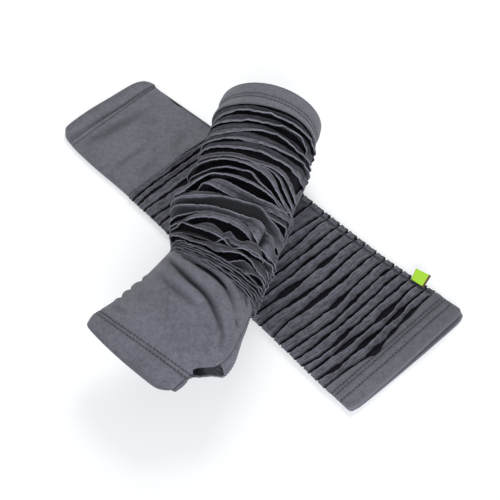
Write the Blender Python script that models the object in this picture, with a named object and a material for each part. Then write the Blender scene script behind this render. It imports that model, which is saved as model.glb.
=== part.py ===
"""Pair of long fingerless arm warmers in cotton jersey.

The left one lies flat. The right one keeps the hollow form of a worn sleeve and
lies across it, palm down. Each is a tube with one side seam on the thumb side: a
plain hand with a turned knuckle hem, then a long sleeve whose outer panel is
stitched down in rows and slashed between them, so that the strips curl up beside
narrow slits, and then a turned elbow hem. A small loop label sits in the flat
one's side seam.

All tables are in millimetres and degrees. Around a tube the angle runs from the
side seam (0) over the top to the fold side (180) and back underneath (360).
"""

import math
from dataclasses import dataclass

import bpy
import numpy as np

MM = 0.001
COLLECTION = "arm_warmers"
CENTRE = (-2.8, 0.3)      # middle of the pair's footprint, as the tables count

SEAM_GAP = 0.3            # between two pieces that are sewn edge to edge
JERSEY = 1.5              # wall of the plain jersey hand
BACKING = 1.3             # wall under a slit
HEM_WALL = 2.4            # a turned hem is the cloth twice
HEM_PROUD = 0.5           # how far a hem stands out over the panel beside it

STRIP_EDGE = 0.45         # a strip's edge is this far from the slit's own edge
MIN_STEP = 0.3            # least spacing of neighbouring rings on a sleeve
LEAST_GAPE = 0.5          # half the width of a slit that is closed
SLIT_END = 9.0            # degrees from the seam over which a slit runs out
FLAT_LIFT = 2.2           # how far the strips' edges stand off the flat backing
WORN_LIFT = 3.6           # the same on the worn one, whose strips are bunched
STITCH_LIFT = 0.9         # cloth left over the backing where a strip is sewn down


# --- the worn tube ------------------------------------------------------------------

@dataclass(frozen=True)
class Ring:
    """One cross-section of the worn tube, measured on the cloth under the strips."""

    along: float          # from the elbow rim
    x: float
    y: float
    z: float
    half_width: float
    half_height: float
    turn: float           # clockwise from +X, seen from above
    slope: float          # rise of the arm towards the elbow
    seam: float           # the side seam's angle above the ring's thumb-side end


WORN_RINGS = (
    #     along      x      y     z   width height  turn slope  seam
    Ring(   0.0,  15.5,  84.5, 44.5,  43.0,  34.0, 18.0, -3.0, -4.0),
    Ring(  21.5,   9.8,  64.0, 45.5,  42.0,  33.4, 19.0, -3.0, -4.0),
    Ring(  42.0,   3.7,  42.4, 47.0,  40.6,  31.8, 19.0, -3.0, -4.0),
    Ring(  64.0,  -0.9,  21.0, 48.0,  41.6,  31.5, 18.0, -3.0, -4.0),
    Ring(  85.0,  -7.0,   1.0, 49.0,  40.3,  31.3, 17.0, -3.0, -4.0),
    Ring(  99.0, -10.4, -12.6, 49.6,  39.4,  31.2, 17.5, -4.0, -4.0),
    Ring( 117.0, -17.0, -29.5, 50.5,  41.5,  31.0, 18.0, -5.0, -4.0),
    Ring( 153.0, -23.5, -64.2, 54.0,  38.2,  28.5, 24.0, -6.0, -2.0),
    Ring( 184.0, -30.2, -91.4, 56.0,  35.0,  25.0, 35.0,  5.0,  0.0),
    Ring( 204.0, -39.3,-107.8, 54.0,  40.6,  24.0, 37.0, 12.0,  4.0),
    Ring( 222.0, -50.0,-119.0, 49.5,  44.6,  21.0, 38.0, 16.0,  8.0),
    Ring( 242.0, -63.7,-127.6, 44.0,  43.9,  18.0, 40.0, 20.0, 10.0),
    Ring( 257.0, -76.8,-134.2, 38.5,  42.9,  15.5, 41.5, 22.0, 10.0),
    Ring( 272.0, -87.0,-144.0, 33.0,  42.3,  14.0, 44.0, 22.0, 10.0),
)

WORN_LENGTH = 272.0
WORN_ELBOW_HEM = 21.5     # where the elbow hem ends and the slashed sleeve begins
WORN_WRIST = 187.0        # where the sleeve ends and the plain hand begins
WORN_KNUCKLE_HEM = 254.8  # where the hand ends and the knuckle hem begins
WORN_ANGLES = tuple(range(0, 360, 15))
# the hand has more columns round its thumb side
HAND_ANGLES = (0, 6, 12, 20, 30, 45, 60, 75, 90, 105, 120, 135, 150, 165, 180, 195, 210, 225,
               240, 255, 270, 285, 297, 308, 318, 327, 336, 344, 352)


@dataclass(frozen=True)
class Bulge:
    """Where the palm stands out round the base of the thumb."""

    along: float
    angle: float
    before: float         # reach towards the wrist
    after: float          # reach towards the knuckles
    above: float          # reach towards the back of the hand, in degrees
    below: float          # reach across the palm, in degrees
    size: float


THUMB_BASE = Bulge(along=240.0, angle=322.0, before=24.0, after=14.0,
                   above=36.0, below=48.0, size=12.5)
WRIST_LIFT = 2.6          # how far the hand is bunched up beside the last strips
WRIST_FADE = 16.0         # and over what length it settles


@dataclass(frozen=True)
class Mouth:
    """How a rim bows out between its two ends and is rounded at them."""

    bow: float
    seam_corner: float
    fold_corner: float
    under: float          # how much longer the layer underneath is
    depth: float          # over what length this fades into the tube


WORN_KNUCKLES = Mouth(bow=2.0, seam_corner=6.0, fold_corner=3.5, under=0.0, depth=15.0)
FLAT_KNUCKLES = Mouth(bow=2.2, seam_corner=6.5, fold_corner=6.5, under=0.0, depth=16.0)
FLAT_ELBOW = Mouth(bow=0.5, seam_corner=4.5, fold_corner=4.5, under=2.8, depth=14.0)
KNUCKLE_HEM_TILT = 2.3    # the knuckle hem is this much wider at the fold than mid-way


@dataclass(frozen=True)
class ThumbOpening:
    """A gap in the side seam, opened by pulling its two edges apart."""

    start: float
    end: float
    upward: float         # how far the upper edge is pulled up, in degrees
    downward: float       # how far the lower edge is pulled down
    upper_reach: float    # how far round the cloth gives way above
    lower_reach: float    # and below


WORN_THUMB = ThumbOpening(start=233.0, end=251.8, upward=5.0, downward=52.0,
                          upper_reach=45.0, lower_reach=90.0)


# --- the flat tube ------------------------------------------------------------------

@dataclass(frozen=True)
class Flat:
    """Where the flat tube's two edges lie across its axis, and how thick it lies."""

    along: float          # from the knuckle edge
    fold: float           # the folded edge, on the minus side
    edge: float           # the thumb-side edge
    seam_in: float        # how far the side seam lies in from that edge, on top
    gape: float           # how far the mouth's two layers stand apart


FLAT_WIDTHS = (
    #     along   fold   edge seam_in gape
    Flat(   0.0, -47.8,  43.0,  0.0,  0.6),
    Flat(   6.0, -51.5,  43.8,  0.0,  0.3),
    Flat(  18.0, -54.0,  44.4,  0.0,  0.0),
    Flat(  40.0, -55.3,  45.8,  0.0,  0.0),
    Flat(  85.0, -54.8,  48.6,  1.5,  0.0),
    Flat( 125.0, -54.8,  50.0,  4.5,  0.0),
    Flat( 190.0, -58.5,  51.2,  5.0,  0.0),
    Flat( 255.0, -62.3,  51.3,  5.0,  0.0),
    Flat( 290.0, -63.3,  52.2,  4.6,  0.0),
    Flat( 330.0, -65.0,  55.4,  5.0,  0.3),
    Flat( 348.0, -65.6,  57.4,  3.6,  1.8),
    Flat( 361.5, -65.8,  58.2,  3.0,  3.4),
)

FLAT_START = (-129.0, 142.5)       # middle of the knuckle edge on the table
FLAT_HEADING = -46.85              # direction from knuckles to elbow, from +X
FLAT_THICKNESS = 4.2               # both layers of cloth, lying on each other
FLAT_KNUCKLE_HEM = 17.5
FLAT_WRIST = 92.0
FLAT_ELBOW_HEM = 343.0
FLAT_LENGTH = 361.5
FLAT_THUMB = ThumbOpening(start=30.0, end=60.0, upward=1.6, downward=3.0,
                          upper_reach=14.0, lower_reach=30.0)
# columns round the flat tube: the top, the fold's bend, the underside, the edge's bend
FLAT_ANGLES = (0, 2.5, 5, 14, 30, 50, 70, 90, 110, 130, 150,
               165, 180, 195, 210, 270, 330, 335, 340, 345, 352)
TOP_END = 150.0           # the top run ends here and the fold's bend begins
BEND_END = 210.0          # the fold's bend ends and the underside begins
UNDER_END = 330.0         # the underside ends and the edge's bend begins


# --- slits --------------------------------------------------------------------------

@dataclass(frozen=True)
class Slit:
    """How far along the sleeve one slit lies, at five places round the visible side."""

    fold: float           # 165 degrees from the seam
    outer: float          # 130
    top: float            # 90
    inner: float          # 50
    seam: float           # 15


SLIT_ANGLES = (15.0, 50.0, 90.0, 130.0, 165.0)

WORN_SLITS = (
    #     fold  outer    top  inner   seam
    Slit( 25.0,  27.0,  27.5,  24.5,  23.0),
    Slit( 36.0,  36.5,  36.0,  33.5,  31.0),
    Slit( 43.0,  46.0,  45.0,  42.0,  42.0),
    Slit( 54.0,  58.0,  54.5,  53.0,  49.0),
    Slit( 62.0,  66.0,  66.0,  64.0,  56.0),
    Slit( 71.0,  75.0,  77.0,  75.0,  63.0),
    Slit( 83.0,  86.0,  87.0,  79.5,  75.0),
    Slit(102.0,  95.0,  91.0,  85.0,  91.0),
    Slit(107.0, 102.0,  97.0, 100.0, 103.0),
    Slit(111.0, 108.0, 103.5, 107.0, 109.0),
    Slit(118.0, 116.0, 112.5, 113.5, 114.0),
    Slit(125.0, 127.0, 129.0, 124.0, 118.5),
    Slit(130.0, 136.0, 136.5, 137.0, 134.0),
    Slit(138.0, 145.0, 143.5, 143.5, 143.0),
    Slit(145.0, 150.5, 148.0, 147.5, 149.0),
    Slit(154.0, 157.0, 153.5, 155.0, 154.0),
    Slit(160.5, 165.0, 165.5, 163.0, 157.0),
    Slit(166.0, 170.0, 170.5, 167.5, 162.0),
    Slit(170.0, 173.0, 174.0, 170.5, 166.0),
    Slit(173.0, 175.5, 176.5, 173.5, 170.0),
    Slit(175.5, 177.5, 178.5, 176.0, 173.0),
    Slit(177.5, 179.3, 180.0, 178.0, 175.8),
    Slit(179.3, 181.0, 181.5, 179.8, 178.2),
    Slit(181.0, 182.4, 182.8, 181.4, 180.2),
    Slit(182.6, 183.7, 184.0, 182.9, 182.0),
    Slit(184.2, 185.0, 185.2, 184.4, 183.8),
)

FLAT_SLITS = (
    #     fold  outer    top  inner   seam
    Slit( 98.0,  97.0,  96.0,  95.5,  95.0),
    Slit(105.0, 103.5, 103.0, 102.0, 101.0),
    Slit(112.0, 110.0, 109.5, 108.5, 108.0),
    Slit(120.0, 120.0, 120.0, 119.5, 119.0),
    Slit(130.0, 131.0, 131.0, 130.5, 130.0),
    Slit(140.0, 139.5, 140.0, 140.5, 140.0),
    Slit(151.0, 151.5, 152.0, 151.5, 151.0),
    Slit(162.0, 163.0, 163.5, 163.0, 162.5),
    Slit(173.5, 174.0, 175.0, 174.5, 174.0),
    Slit(185.0, 186.0, 186.5, 186.0, 185.5),
    Slit(197.0, 197.5, 198.0, 198.0, 197.5),
    Slit(208.0, 208.5, 209.0, 208.5, 208.0),
    Slit(219.5, 220.0, 220.0, 220.5, 222.0),
    Slit(230.0, 230.5, 231.0, 230.0, 228.5),
    Slit(238.5, 239.0, 240.0, 240.5, 239.5),
    Slit(247.0, 248.0, 249.0, 248.5, 248.5),
    Slit(255.5, 256.5, 258.0, 258.5, 258.5),
    Slit(265.5, 266.5, 269.0, 269.5, 267.5),
    Slit(279.5, 278.0, 279.0, 279.5, 278.5),
    Slit(287.5, 289.0, 291.5, 290.0, 288.0),
    Slit(296.5, 298.5, 300.5, 298.0, 297.0),
    Slit(304.5, 306.5, 307.0, 306.0, 305.0),
    Slit(312.0, 315.5, 315.0, 314.0, 313.5),
    Slit(319.5, 321.0, 322.5, 323.0, 321.0),
    Slit(327.5, 330.0, 330.5, 330.0, 328.5),
    Slit(336.0, 339.0, 339.0, 337.0, 335.5),
)


@dataclass(frozen=True)
class Gape:
    """Where a slit stands open: how wide, at which angle and over what reach."""

    slit: int             # counted from 1
    angle: float
    reach: float
    width: float


WORN_GAPES = (
    #   slit angle reach width
    Gape(1, 65, 55, 4.6), Gape(2, 100, 40, 3.8), Gape(2, 32, 20, 3.6),
    Gape(3, 52, 26, 6.8), Gape(3, 120, 35, 1.6), Gape(4, 70, 34, 5.2),
    Gape(5, 42, 30, 4.6), Gape(5, 100, 30, 2.4), Gape(6, 75, 42, 5.4),
    Gape(7, 20, 14, 3.2), Gape(8, 122, 24, 6.4), Gape(8, 24, 22, 4.6),
    Gape(9, 58, 16, 6.2), Gape(9, 118, 20, 2.6), Gape(11, 76, 30, 10.5),
    Gape(12, 112, 14, 3.8), Gape(12, 60, 40, 2.6), Gape(13, 70, 38, 8.2),
    Gape(13, 125, 22, 3.6), Gape(14, 142, 20, 7.6), Gape(15, 152, 12, 4.4),
    Gape(15, 62, 14, 4.0), Gape(16, 75, 24, 9.4), Gape(17, 122, 24, 9.2),
    Gape(17, 36, 14, 2.8), Gape(18, 96, 12, 3.4), Gape(19, 70, 16, 4.6),
    Gape(20, 24, 16, 4.6), Gape(21, 60, 12, 2.4), Gape(22, 22, 12, 2.6),
    Gape(24, 22, 12, 2.0), Gape(26, 60, 50, 2.0),
)

FLAT_GAPES = (
    #   slit angle reach width
    Gape(1, 45, 25, 2.6), Gape(2, 78, 18, 3.0), Gape(2, 35, 16, 3.6),
    Gape(3, 120, 18, 2.4), Gape(4, 76, 24, 4.4), Gape(7, 60, 40, 3.0),
    Gape(9, 80, 30, 2.6), Gape(11, 70, 30, 2.8), Gape(13, 12, 14, 2.6),
    Gape(15, 40, 24, 1.8), Gape(16, 62, 20, 2.8), Gape(17, 42, 16, 4.0),
    Gape(17, 98, 18, 5.2), Gape(18, 98, 40, 3.2), Gape(19, 88, 42, 4.6),
    Gape(20, 72, 16, 3.8), Gape(21, 66, 14, 3.0), Gape(21, 12, 10, 2.4),
    Gape(22, 118, 20, 2.4), Gape(23, 104, 20, 3.2), Gape(24, 48, 20, 4.8),
    Gape(24, 96, 30, 3.4), Gape(25, 46, 16, 3.8), Gape(25, 94, 34, 3.8),
    Gape(26, 40, 18, 3.2), Gape(26, 94, 10, 5.2),
)


# --- creases ------------------------------------------------------------------------

@dataclass(frozen=True)
class Crease:
    """A soft trough in the worn hand, bent through three places."""

    start: tuple          # (along, angle)
    middle: tuple
    end: tuple
    depth: float
    width: float


WORN_CREASES = (
    Crease(start=(195, 165), middle=(198, 96), end=(217, 28), depth=2.6, width=3.6),
    Crease(start=(189, 160), middle=(186, 96), end=(203, 30), depth=2.4, width=3.2),
    Crease(start=(213, 160), middle=(206, 112), end=(218, 62), depth=1.4, width=3.6),
    Crease(start=(196, 200), middle=(203, 262), end=(198, 330), depth=2.2, width=3.6),
    Crease(start=(209, 205), middle=(216, 270), end=(212, 335), depth=1.8, width=3.8),
    Crease(start=(238, 176), middle=(240, 140), end=(236, 112), depth=0.9, width=3.4),
)

CHARCOAL = (0.135, 0.137, 0.155)
CHARCOAL_DEEP = (0.105, 0.106, 0.122)
LIME = (0.42, 0.72, 0.05)


def smooth_track(knots, values, at):
    """Read a smooth curve through the given values, flat-ended cubic by cubic."""
    knots = np.asarray(knots, dtype=float)
    values = np.asarray(values, dtype=float)
    at = np.asarray(at, dtype=float)
    slopes = np.gradient(values, knots, axis=0)
    low = np.clip(np.searchsorted(knots, at, side="right") - 1, 0, len(knots) - 2)
    span = knots[low + 1] - knots[low]
    t = (at - knots[low]) / span
    if values.ndim == 2:
        span = span[..., None]
        t = t[..., None]
    return ((2 * t**3 - 3 * t**2 + 1) * values[low]
            + (t**3 - 2 * t**2 + t) * span * slopes[low]
            + (3 * t**2 - 2 * t**3) * values[low + 1]
            + (t**3 - t**2) * span * slopes[low + 1])


def around_distance(angle, centre):
    """Shortest way round the tube between two angles, in degrees."""
    return np.abs((np.asarray(angle, dtype=float) - centre + 180.0) % 360.0 - 180.0)


def mouth_shift(mouth, fade, across, underneath):
    """How far a rim's points move outwards along the tube.

    The fade is 1 at the rim and 0 inside, across runs from 1 at the seam corner to -1
    at the fold corner, and underneath is 1 on the layer below.
    """
    seam_corner = np.exp(-((1.0 - across) / 0.16) ** 2)
    fold_corner = np.exp(-((1.0 + across) / 0.16) ** 2)
    bowed = mouth.bow * (1.0 - across**2)
    longer = mouth.under * underneath
    return fade * (bowed + longer - mouth.seam_corner * seam_corner - mouth.fold_corner * fold_corner)


class WornTube:
    """The tube of the worn one, bent and turned as the arm held it."""

    seam_level = 2.8
    rounded = True

    def __init__(self):
        self.knots = [ring.along for ring in WORN_RINGS]
        self.rows = np.array([[ring.x, ring.y, ring.z, ring.half_width, ring.half_height,
                               ring.turn, ring.slope, ring.seam] for ring in WORN_RINGS])

    def crease(self, along, angle):
        """How deep the hand's creases are at a place."""
        depth = np.zeros(np.broadcast(along, angle).shape)
        steps = np.linspace(0.0, 1.0, 24)
        for row in WORN_CREASES:
            start, middle, end = (np.array(p, dtype=float) for p in (row.start, row.middle, row.end))
            path = [(1 - t) ** 2 * start + 2 * t * (1 - t) * middle + t**2 * end for t in steps]
            near = np.full(depth.shape, 1e9)
            for (place, turn), t in zip(path, steps):
                across = around_distance(angle, turn) * math.radians(1) * 38.0
                ends = 1.0 + 3.0 * abs(2 * t - 1) ** 4
                near = np.minimum(near, ends * np.hypot(along - place, across))
            depth += row.depth * np.exp(-(near / row.width) ** 2)
        return depth

    def point(self, along, angle, lift=0.0):
        """A point on the tube, moved out from it by lift."""
        along, angle, lift = np.broadcast_arrays(
            np.asarray(along, float), np.asarray(angle, float), np.asarray(lift, float))
        fade = np.clip(1.0 - (WORN_LENGTH - along) / WORN_KNUCKLES.depth, 0.0, 1.0)
        across = np.cos(np.radians(angle))
        below = np.clip(-np.sin(np.radians(angle)), 0.0, 1.0)
        along = along + mouth_shift(WORN_KNUCKLES, fade, across, below)
        track = smooth_track(self.knots, self.rows, along)
        x, y, z, width, height, turn, slope, seam = (track[..., i] for i in range(8))
        turn = np.radians(turn)
        slope = np.radians(slope)
        phi = np.radians(angle + seam)
        flat = np.zeros_like(turn)
        across = np.stack([np.cos(turn), -np.sin(turn), flat], -1)
        forward = np.stack([np.sin(turn), np.cos(turn), flat], -1)
        up = np.cos(slope)[..., None] * np.array([0.0, 0.0, 1.0]) - np.sin(slope)[..., None] * forward
        out_u = np.cos(phi) / width
        out_v = np.sin(phi) / height
        size = np.hypot(out_u, out_v)
        out = lift - self.crease(along, angle)
        thumb = THUMB_BASE
        reach = np.where(along < thumb.along, thumb.before, thumb.after)
        above = (angle - thumb.angle + 180.0) % 360.0 - 180.0
        spread = np.where(above > 0, thumb.above, thumb.below)
        bulge = thumb.size * np.exp(-((along - thumb.along) / reach) ** 2 - (above / spread) ** 2)
        u = width * np.cos(phi) + out * out_u / size + bulge
        v = height * np.sin(phi) + out * out_v / size
        return np.stack([x, y, z], -1) + u[..., None] * across + v[..., None] * up

    def lift(self, along, angle):
        """The strips have their full lift all round."""
        return np.ones(np.broadcast(along, angle).shape) * WORN_LIFT

    def hand_lift(self, along):
        """The hand stands out beside the last strips and settles towards the palm."""
        return WRIST_LIFT * np.exp(-((along - WORN_WRIST) / WRIST_FADE) ** 2)


class FlatTube:
    """The tube of the flat one: two layers lying on each other, flat underneath."""

    seam_level = 1.2
    rounded = False

    def __init__(self):
        self.knots = [row.along for row in FLAT_WIDTHS]
        self.rows = np.array([[row.fold, row.edge, row.seam_in, row.gape] for row in FLAT_WIDTHS])
        turn = math.radians(FLAT_HEADING)
        self.axis = np.array([math.cos(turn), math.sin(turn), 0.0])
        self.side = np.array([-math.sin(turn), math.cos(turn), 0.0])

    def section(self, along, angle):
        """Across and up, with the outward direction, at a place round the tube."""
        track = smooth_track(self.knots, self.rows, along)
        fold, edge, seam_in, gape = (track[..., i] for i in range(4))
        bend = FLAT_THICKNESS / 2
        quarter = math.pi * bend / 2
        run = edge - fold - 2 * bend
        top_end = quarter + run
        under_start = top_end + 2 * quarter
        under_end = under_start + run
        whole = under_end + quarter
        arc = np.select(
            [angle <= TOP_END, angle <= BEND_END, angle <= UNDER_END],
            [seam_in + (top_end - seam_in) * angle / TOP_END,
             top_end + 2 * quarter * (angle - TOP_END) / (BEND_END - TOP_END),
             under_start + run * (angle - BEND_END) / (UNDER_END - BEND_END)],
            under_end + (whole + seam_in - under_end) * (angle - UNDER_END) / (360.0 - UNDER_END))
        arc = np.where(arc > whole, arc - whole, arc)
        on_edge = arc < quarter
        on_top = (arc >= quarter) & (arc < top_end)
        on_fold = (arc >= top_end) & (arc < under_start)
        on_under = (arc >= under_start) & (arc < under_end)
        swing = np.select([on_edge, on_top, on_fold, on_under],
                          [arc / bend, np.full(arc.shape, math.pi / 2),
                           math.pi / 2 + (arc - top_end) / bend, np.full(arc.shape, 1.5 * math.pi)],
                          1.5 * math.pi + (arc - under_end) / bend)
        base = np.select([on_edge, on_top, on_fold, on_under],
                         [edge - bend, edge - bend - (arc - quarter), fold + bend,
                          fold + bend + (arc - under_start)], edge - bend)
        out_u = np.cos(swing)
        out_v = np.sin(swing)
        u = base + bend * out_u
        middle = (u - (edge + fold) / 2) / ((edge - fold) / 2)
        rise = gape * np.clip(1 - middle**2, 0, 1) * (0.85 + 0.4 * middle) * np.clip(out_v, 0, 1)
        v = bend + bend * out_v + rise
        return u, v, out_u, out_v

    def point(self, along, angle, lift=0.0):
        """A point on the tube, moved out from it by lift."""
        along, angle, lift = np.broadcast_arrays(
            np.asarray(along, float), np.asarray(angle, float), np.asarray(lift, float))
        u, v, out_u, out_v = self.section(along, angle)
        u = u + lift * out_u
        v = np.maximum(v + lift * out_v, 0.0)
        across = np.clip(2 * (u + 5.0) / 112.0, -1.0, 1.0)
        below = np.clip(-out_v, 0.0, 1.0)
        knuckle = np.clip(1.0 - along / FLAT_KNUCKLES.depth, 0.0, 1.0)
        elbow = np.clip(1.0 - (FLAT_LENGTH - along) / FLAT_ELBOW.depth, 0.0, 1.0)
        along = (along - mouth_shift(FLAT_KNUCKLES, knuckle, across, below)
                 + mouth_shift(FLAT_ELBOW, elbow, across, below))
        start = np.array([FLAT_START[0], FLAT_START[1], 0.0])
        return (start + along[..., None] * self.axis + u[..., None] * self.side
                + v[..., None] * np.array([0.0, 0.0, 1.0]))

    def lift(self, along, angle):
        """The strips lie free on top, turn round both edges and end at the underside."""
        out_v = self.section(along, angle)[3]
        return FLAT_LIFT * np.clip(0.75 + out_v, 0.0, 1.0)

    def hand_lift(self, along):
        """The flat hand is plain all along."""
        return 0.0 * along


def slit_position(slit, angle):
    """How far along the sleeve a slit lies at an angle round the tube."""
    knots = (0.0,) + SLIT_ANGLES + (180.0, 235.0, 305.0, 360.0)
    seam, inner, top, outer, fold = slit.seam, slit.inner, slit.top, slit.outer, slit.fold
    under = 0.5 * (seam + fold)
    values = (seam, seam, inner, top, outer, fold, fold, under + 0.6, under - 0.5, seam)
    return smooth_track(knots, values, angle)


def slit_half_width(index, gapes, angle):
    """Half of how far a slit stands open at an angle, closing up beside the seam."""
    half = np.full(np.shape(angle), LEAST_GAPE)
    under = 220.0 + (index * 47) % 110
    half = half + 0.5 * np.exp(-(around_distance(angle, under) / 26.0) ** 2)
    for gape in gapes:
        if gape.slit == index + 1:
            wide = np.exp(-(around_distance(angle, gape.angle) / gape.reach) ** 2)
            half = np.maximum(half, gape.width / 2 * wide)
    runout = np.clip(around_distance(angle, 0.0) / SLIT_END, 0.12, 1.0)
    return half * runout


def slashed_rows(tube, slits, gapes, start, end, angles, floors):
    """Rings of the slashed outer side, each with its place along and its lift.

    A slit is a low floor between two raised strip edges, and each strip dips where it
    is sewn down. The rings keep their order everywhere round the tube.
    """
    full = np.ones(len(angles))
    along = [start * full]
    lifted = [0.35 * full]
    for index, slit in enumerate(slits):
        centre = slit_position(slit, angles)
        half = slit_half_width(index, gapes, angles)
        along.append(centre - half - STRIP_EDGE)
        lifted.append(1.0 * full)
        for floor in floors:
            along.append(centre + floor * half)
            lifted.append(0.0 * full)
        along.append(centre + half + STRIP_EDGE)
        lifted.append(0.8 * full)
        if index + 1 < len(slits):
            after = slit_position(slits[index + 1], angles)
            after_half = slit_half_width(index + 1, gapes, angles)
            along.append(0.5 * (centre + half + after - after_half))
            lifted.append(-1.0 * full)
    along.append(end * full)
    lifted.append(0.2 * full)
    along = np.array(along)
    for row in range(1, len(along) - 1):
        along[row] = np.maximum(along[row], along[row - 1] + MIN_STEP)
    for row in range(len(along) - 2, -1, -1):
        along[row] = np.minimum(along[row], along[row + 1] - MIN_STEP)
    lifted = np.array(lifted)
    sewn = lifted < 0
    flat = np.abs(lifted) < 1e-9
    runout = np.clip(around_distance(angles, 0.0) / SLIT_END, 0.0, 1.0)
    lift = lifted * tube.lift(along, angles)
    seam_level = np.minimum(tube.lift(along, angles), tube.seam_level)
    lift = np.where(sewn, np.minimum(STITCH_LIFT, tube.lift(along, angles)), lift)
    lift = np.where(flat, 0.0, lift)
    lift = runout * lift + (1 - runout) * seam_level
    return along, lift


def mesh_object(name, points, faces):
    """Make a mesh object of points in the tables' millimetres."""
    mesh = bpy.data.meshes.new(name)
    placed = [((p[0] - CENTRE[0]) * MM, (p[1] - CENTRE[1]) * MM, p[2] * MM) for p in points]
    mesh.from_pydata([tuple(float(v) for v in p) for p in placed], [], faces)
    mesh.update()
    return bpy.data.objects.new(name, mesh)


def body_from_grids(name, outer, inner, cut=()):
    """A closed wall between an outer and an inner grid of points.

    Both grids run rings by columns and close round the tube. Only their end rings need
    the same columns, unless a cut is given: a cut lists the rings between which the
    first column parts from itself, and there the grids carry one column more.
    """
    points = []
    faces = []

    def add_grid(grid):
        """Add a grid's points and return their numbers, sewn shut outside the cut."""
        rings, columns = grid.shape[:2]
        numbers = np.zeros((rings, columns + (0 if cut else 1)), dtype=int)
        for ring in range(rings):
            for column in range(columns):
                last = cut and column == columns - 1
                if last and not cut[0] < ring < cut[1]:
                    numbers[ring, column] = numbers[ring, 0]
                    continue
                numbers[ring, column] = len(points)
                points.append(grid[ring, column])
        if not cut:
            numbers[:, -1] = numbers[:, 0]
        return numbers

    def add_strip(low, high, flip):
        """Join two rows of point numbers with a band of faces."""
        for k in range(len(low) - 1):
            quad = [low[k], low[k + 1], high[k + 1], high[k]]
            if flip:
                quad.reverse()
            if len(set(quad)) == 4:
                faces.append(quad)

    outside = add_grid(outer)
    inside = add_grid(inner)
    for ring in range(len(outside) - 1):
        add_strip(outside[ring], outside[ring + 1], False)
    for ring in range(len(inside) - 1):
        add_strip(inside[ring], inside[ring + 1], True)
    add_strip(outside[0], inside[0], True)
    add_strip(outside[-1], inside[-1], False)
    if cut:
        rows = slice(cut[0], cut[1] + 1)
        add_strip(outside[rows, 0], inside[rows, 0], False)
        add_strip(outside[rows, -1], inside[rows, -1], True)
    return mesh_object(name, points, faces)


def sleeve(name, tube, slits, gapes, start, end, angles, floors, plain_rings):
    """The slashed sleeve: raised strips over a plain inside."""
    angles = np.asarray(angles, dtype=float)
    along, lift = slashed_rows(tube, slits, gapes, start, end, angles, floors)
    outer = tube.point(along, angles[None, :], lift)
    inner_along = np.linspace(start, end, plain_rings)[:, None]
    inner = tube.point(inner_along, angles[None, :], -BACKING)
    return body_from_grids(name, outer, inner)


def inside_of(tube, outer, along, angle, wall):
    """The inner points of a wall, measured square to the tube's own surface."""
    forward = tube.point(along + 0.5, angle) - tube.point(along - 0.5, angle)
    sideways = tube.point(along, angle + 1.0) - tube.point(along, angle - 1.0)
    out = tube.point(along, angle, 1.0) - tube.point(along, angle)
    normal = np.cross(forward, sideways)
    normal = normal * np.sign(np.sum(normal * out, axis=-1, keepdims=True))
    return outer - wall * normal / np.linalg.norm(normal, axis=-1, keepdims=True)


def tilted(rings, angles, tilt, level):
    """Rings slanted between the seam and the fold, each by its own share of the tilt."""
    share = np.asarray(level, dtype=float)[:, None]
    return rings[:, None] - tilt * share * np.cos(np.radians(angles))[None, :]


def plain_wall(name, tube, rings, angles, wall, proud=0.0, tilt=0.0, level=None):
    """A plain stretch of the tube with an even wall."""
    rings = np.asarray(rings, dtype=float)
    angles = np.asarray(angles, dtype=float)
    along = tilted(rings, angles, tilt, np.zeros(len(rings)) if level is None else level)
    outer = tube.point(along, angles[None, :], proud)
    inner = tube.point(along, angles[None, :], proud - wall)
    return body_from_grids(name, outer, inner)


def hand_wall(name, tube, rings, angles, opening, tilt, level):
    """The plain hand, with the thumb opening between two stretches of its side seam."""
    rings = np.asarray(rings, dtype=float)
    angles = np.asarray(tuple(angles) + (360.0,), dtype=float)
    inside = (rings > opening.start) & (rings < opening.end)
    part = np.clip((rings - opening.start) / (opening.end - opening.start), 0, 1)
    upper = np.sin(math.pi * part)[:, None]
    lower = np.where(inside, 6.75 * part**2 * (1.0 - part), 0.0)[:, None] ** 0.9
    from_above = np.clip(1.0 - angles / opening.upper_reach, 0.0, 1.0)[None, :]
    from_below = np.clip(1.0 - (360.0 - angles) / opening.lower_reach, 0.0, 1.0)[None, :]
    turned = (angles[None, :] + opening.upward * upper * from_above
              - opening.downward * lower * from_below)
    along = tilted(rings, angles, tilt, level)
    outer = tube.point(along, turned, tube.hand_lift(along))
    inner = tube.point(along, turned, tube.hand_lift(along) - JERSEY)
    if tube.rounded:
        inner[2:-2] = inside_of(tube, outer, along, turned, JERSEY)[2:-2]
    rows = np.flatnonzero(inside)
    return body_from_grids(name, outer, inner, cut=(rows[0] - 1, rows[-1] + 1))


@dataclass(frozen=True)
class LabelEnd:
    """One end of the loop label: where it leaves the seam and how far it stands out."""

    along: float
    reach: float
    lean: float           # how far its fold end leans towards the knuckles
    rise: float           # how far its fold end stands up


LABEL_ENDS = (LabelEnd(315.5, 8.8, 3.2, 2.6), LabelEnd(327.0, 11.0, 2.4, 1.9))
LABEL_THICK = 1.3


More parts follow.
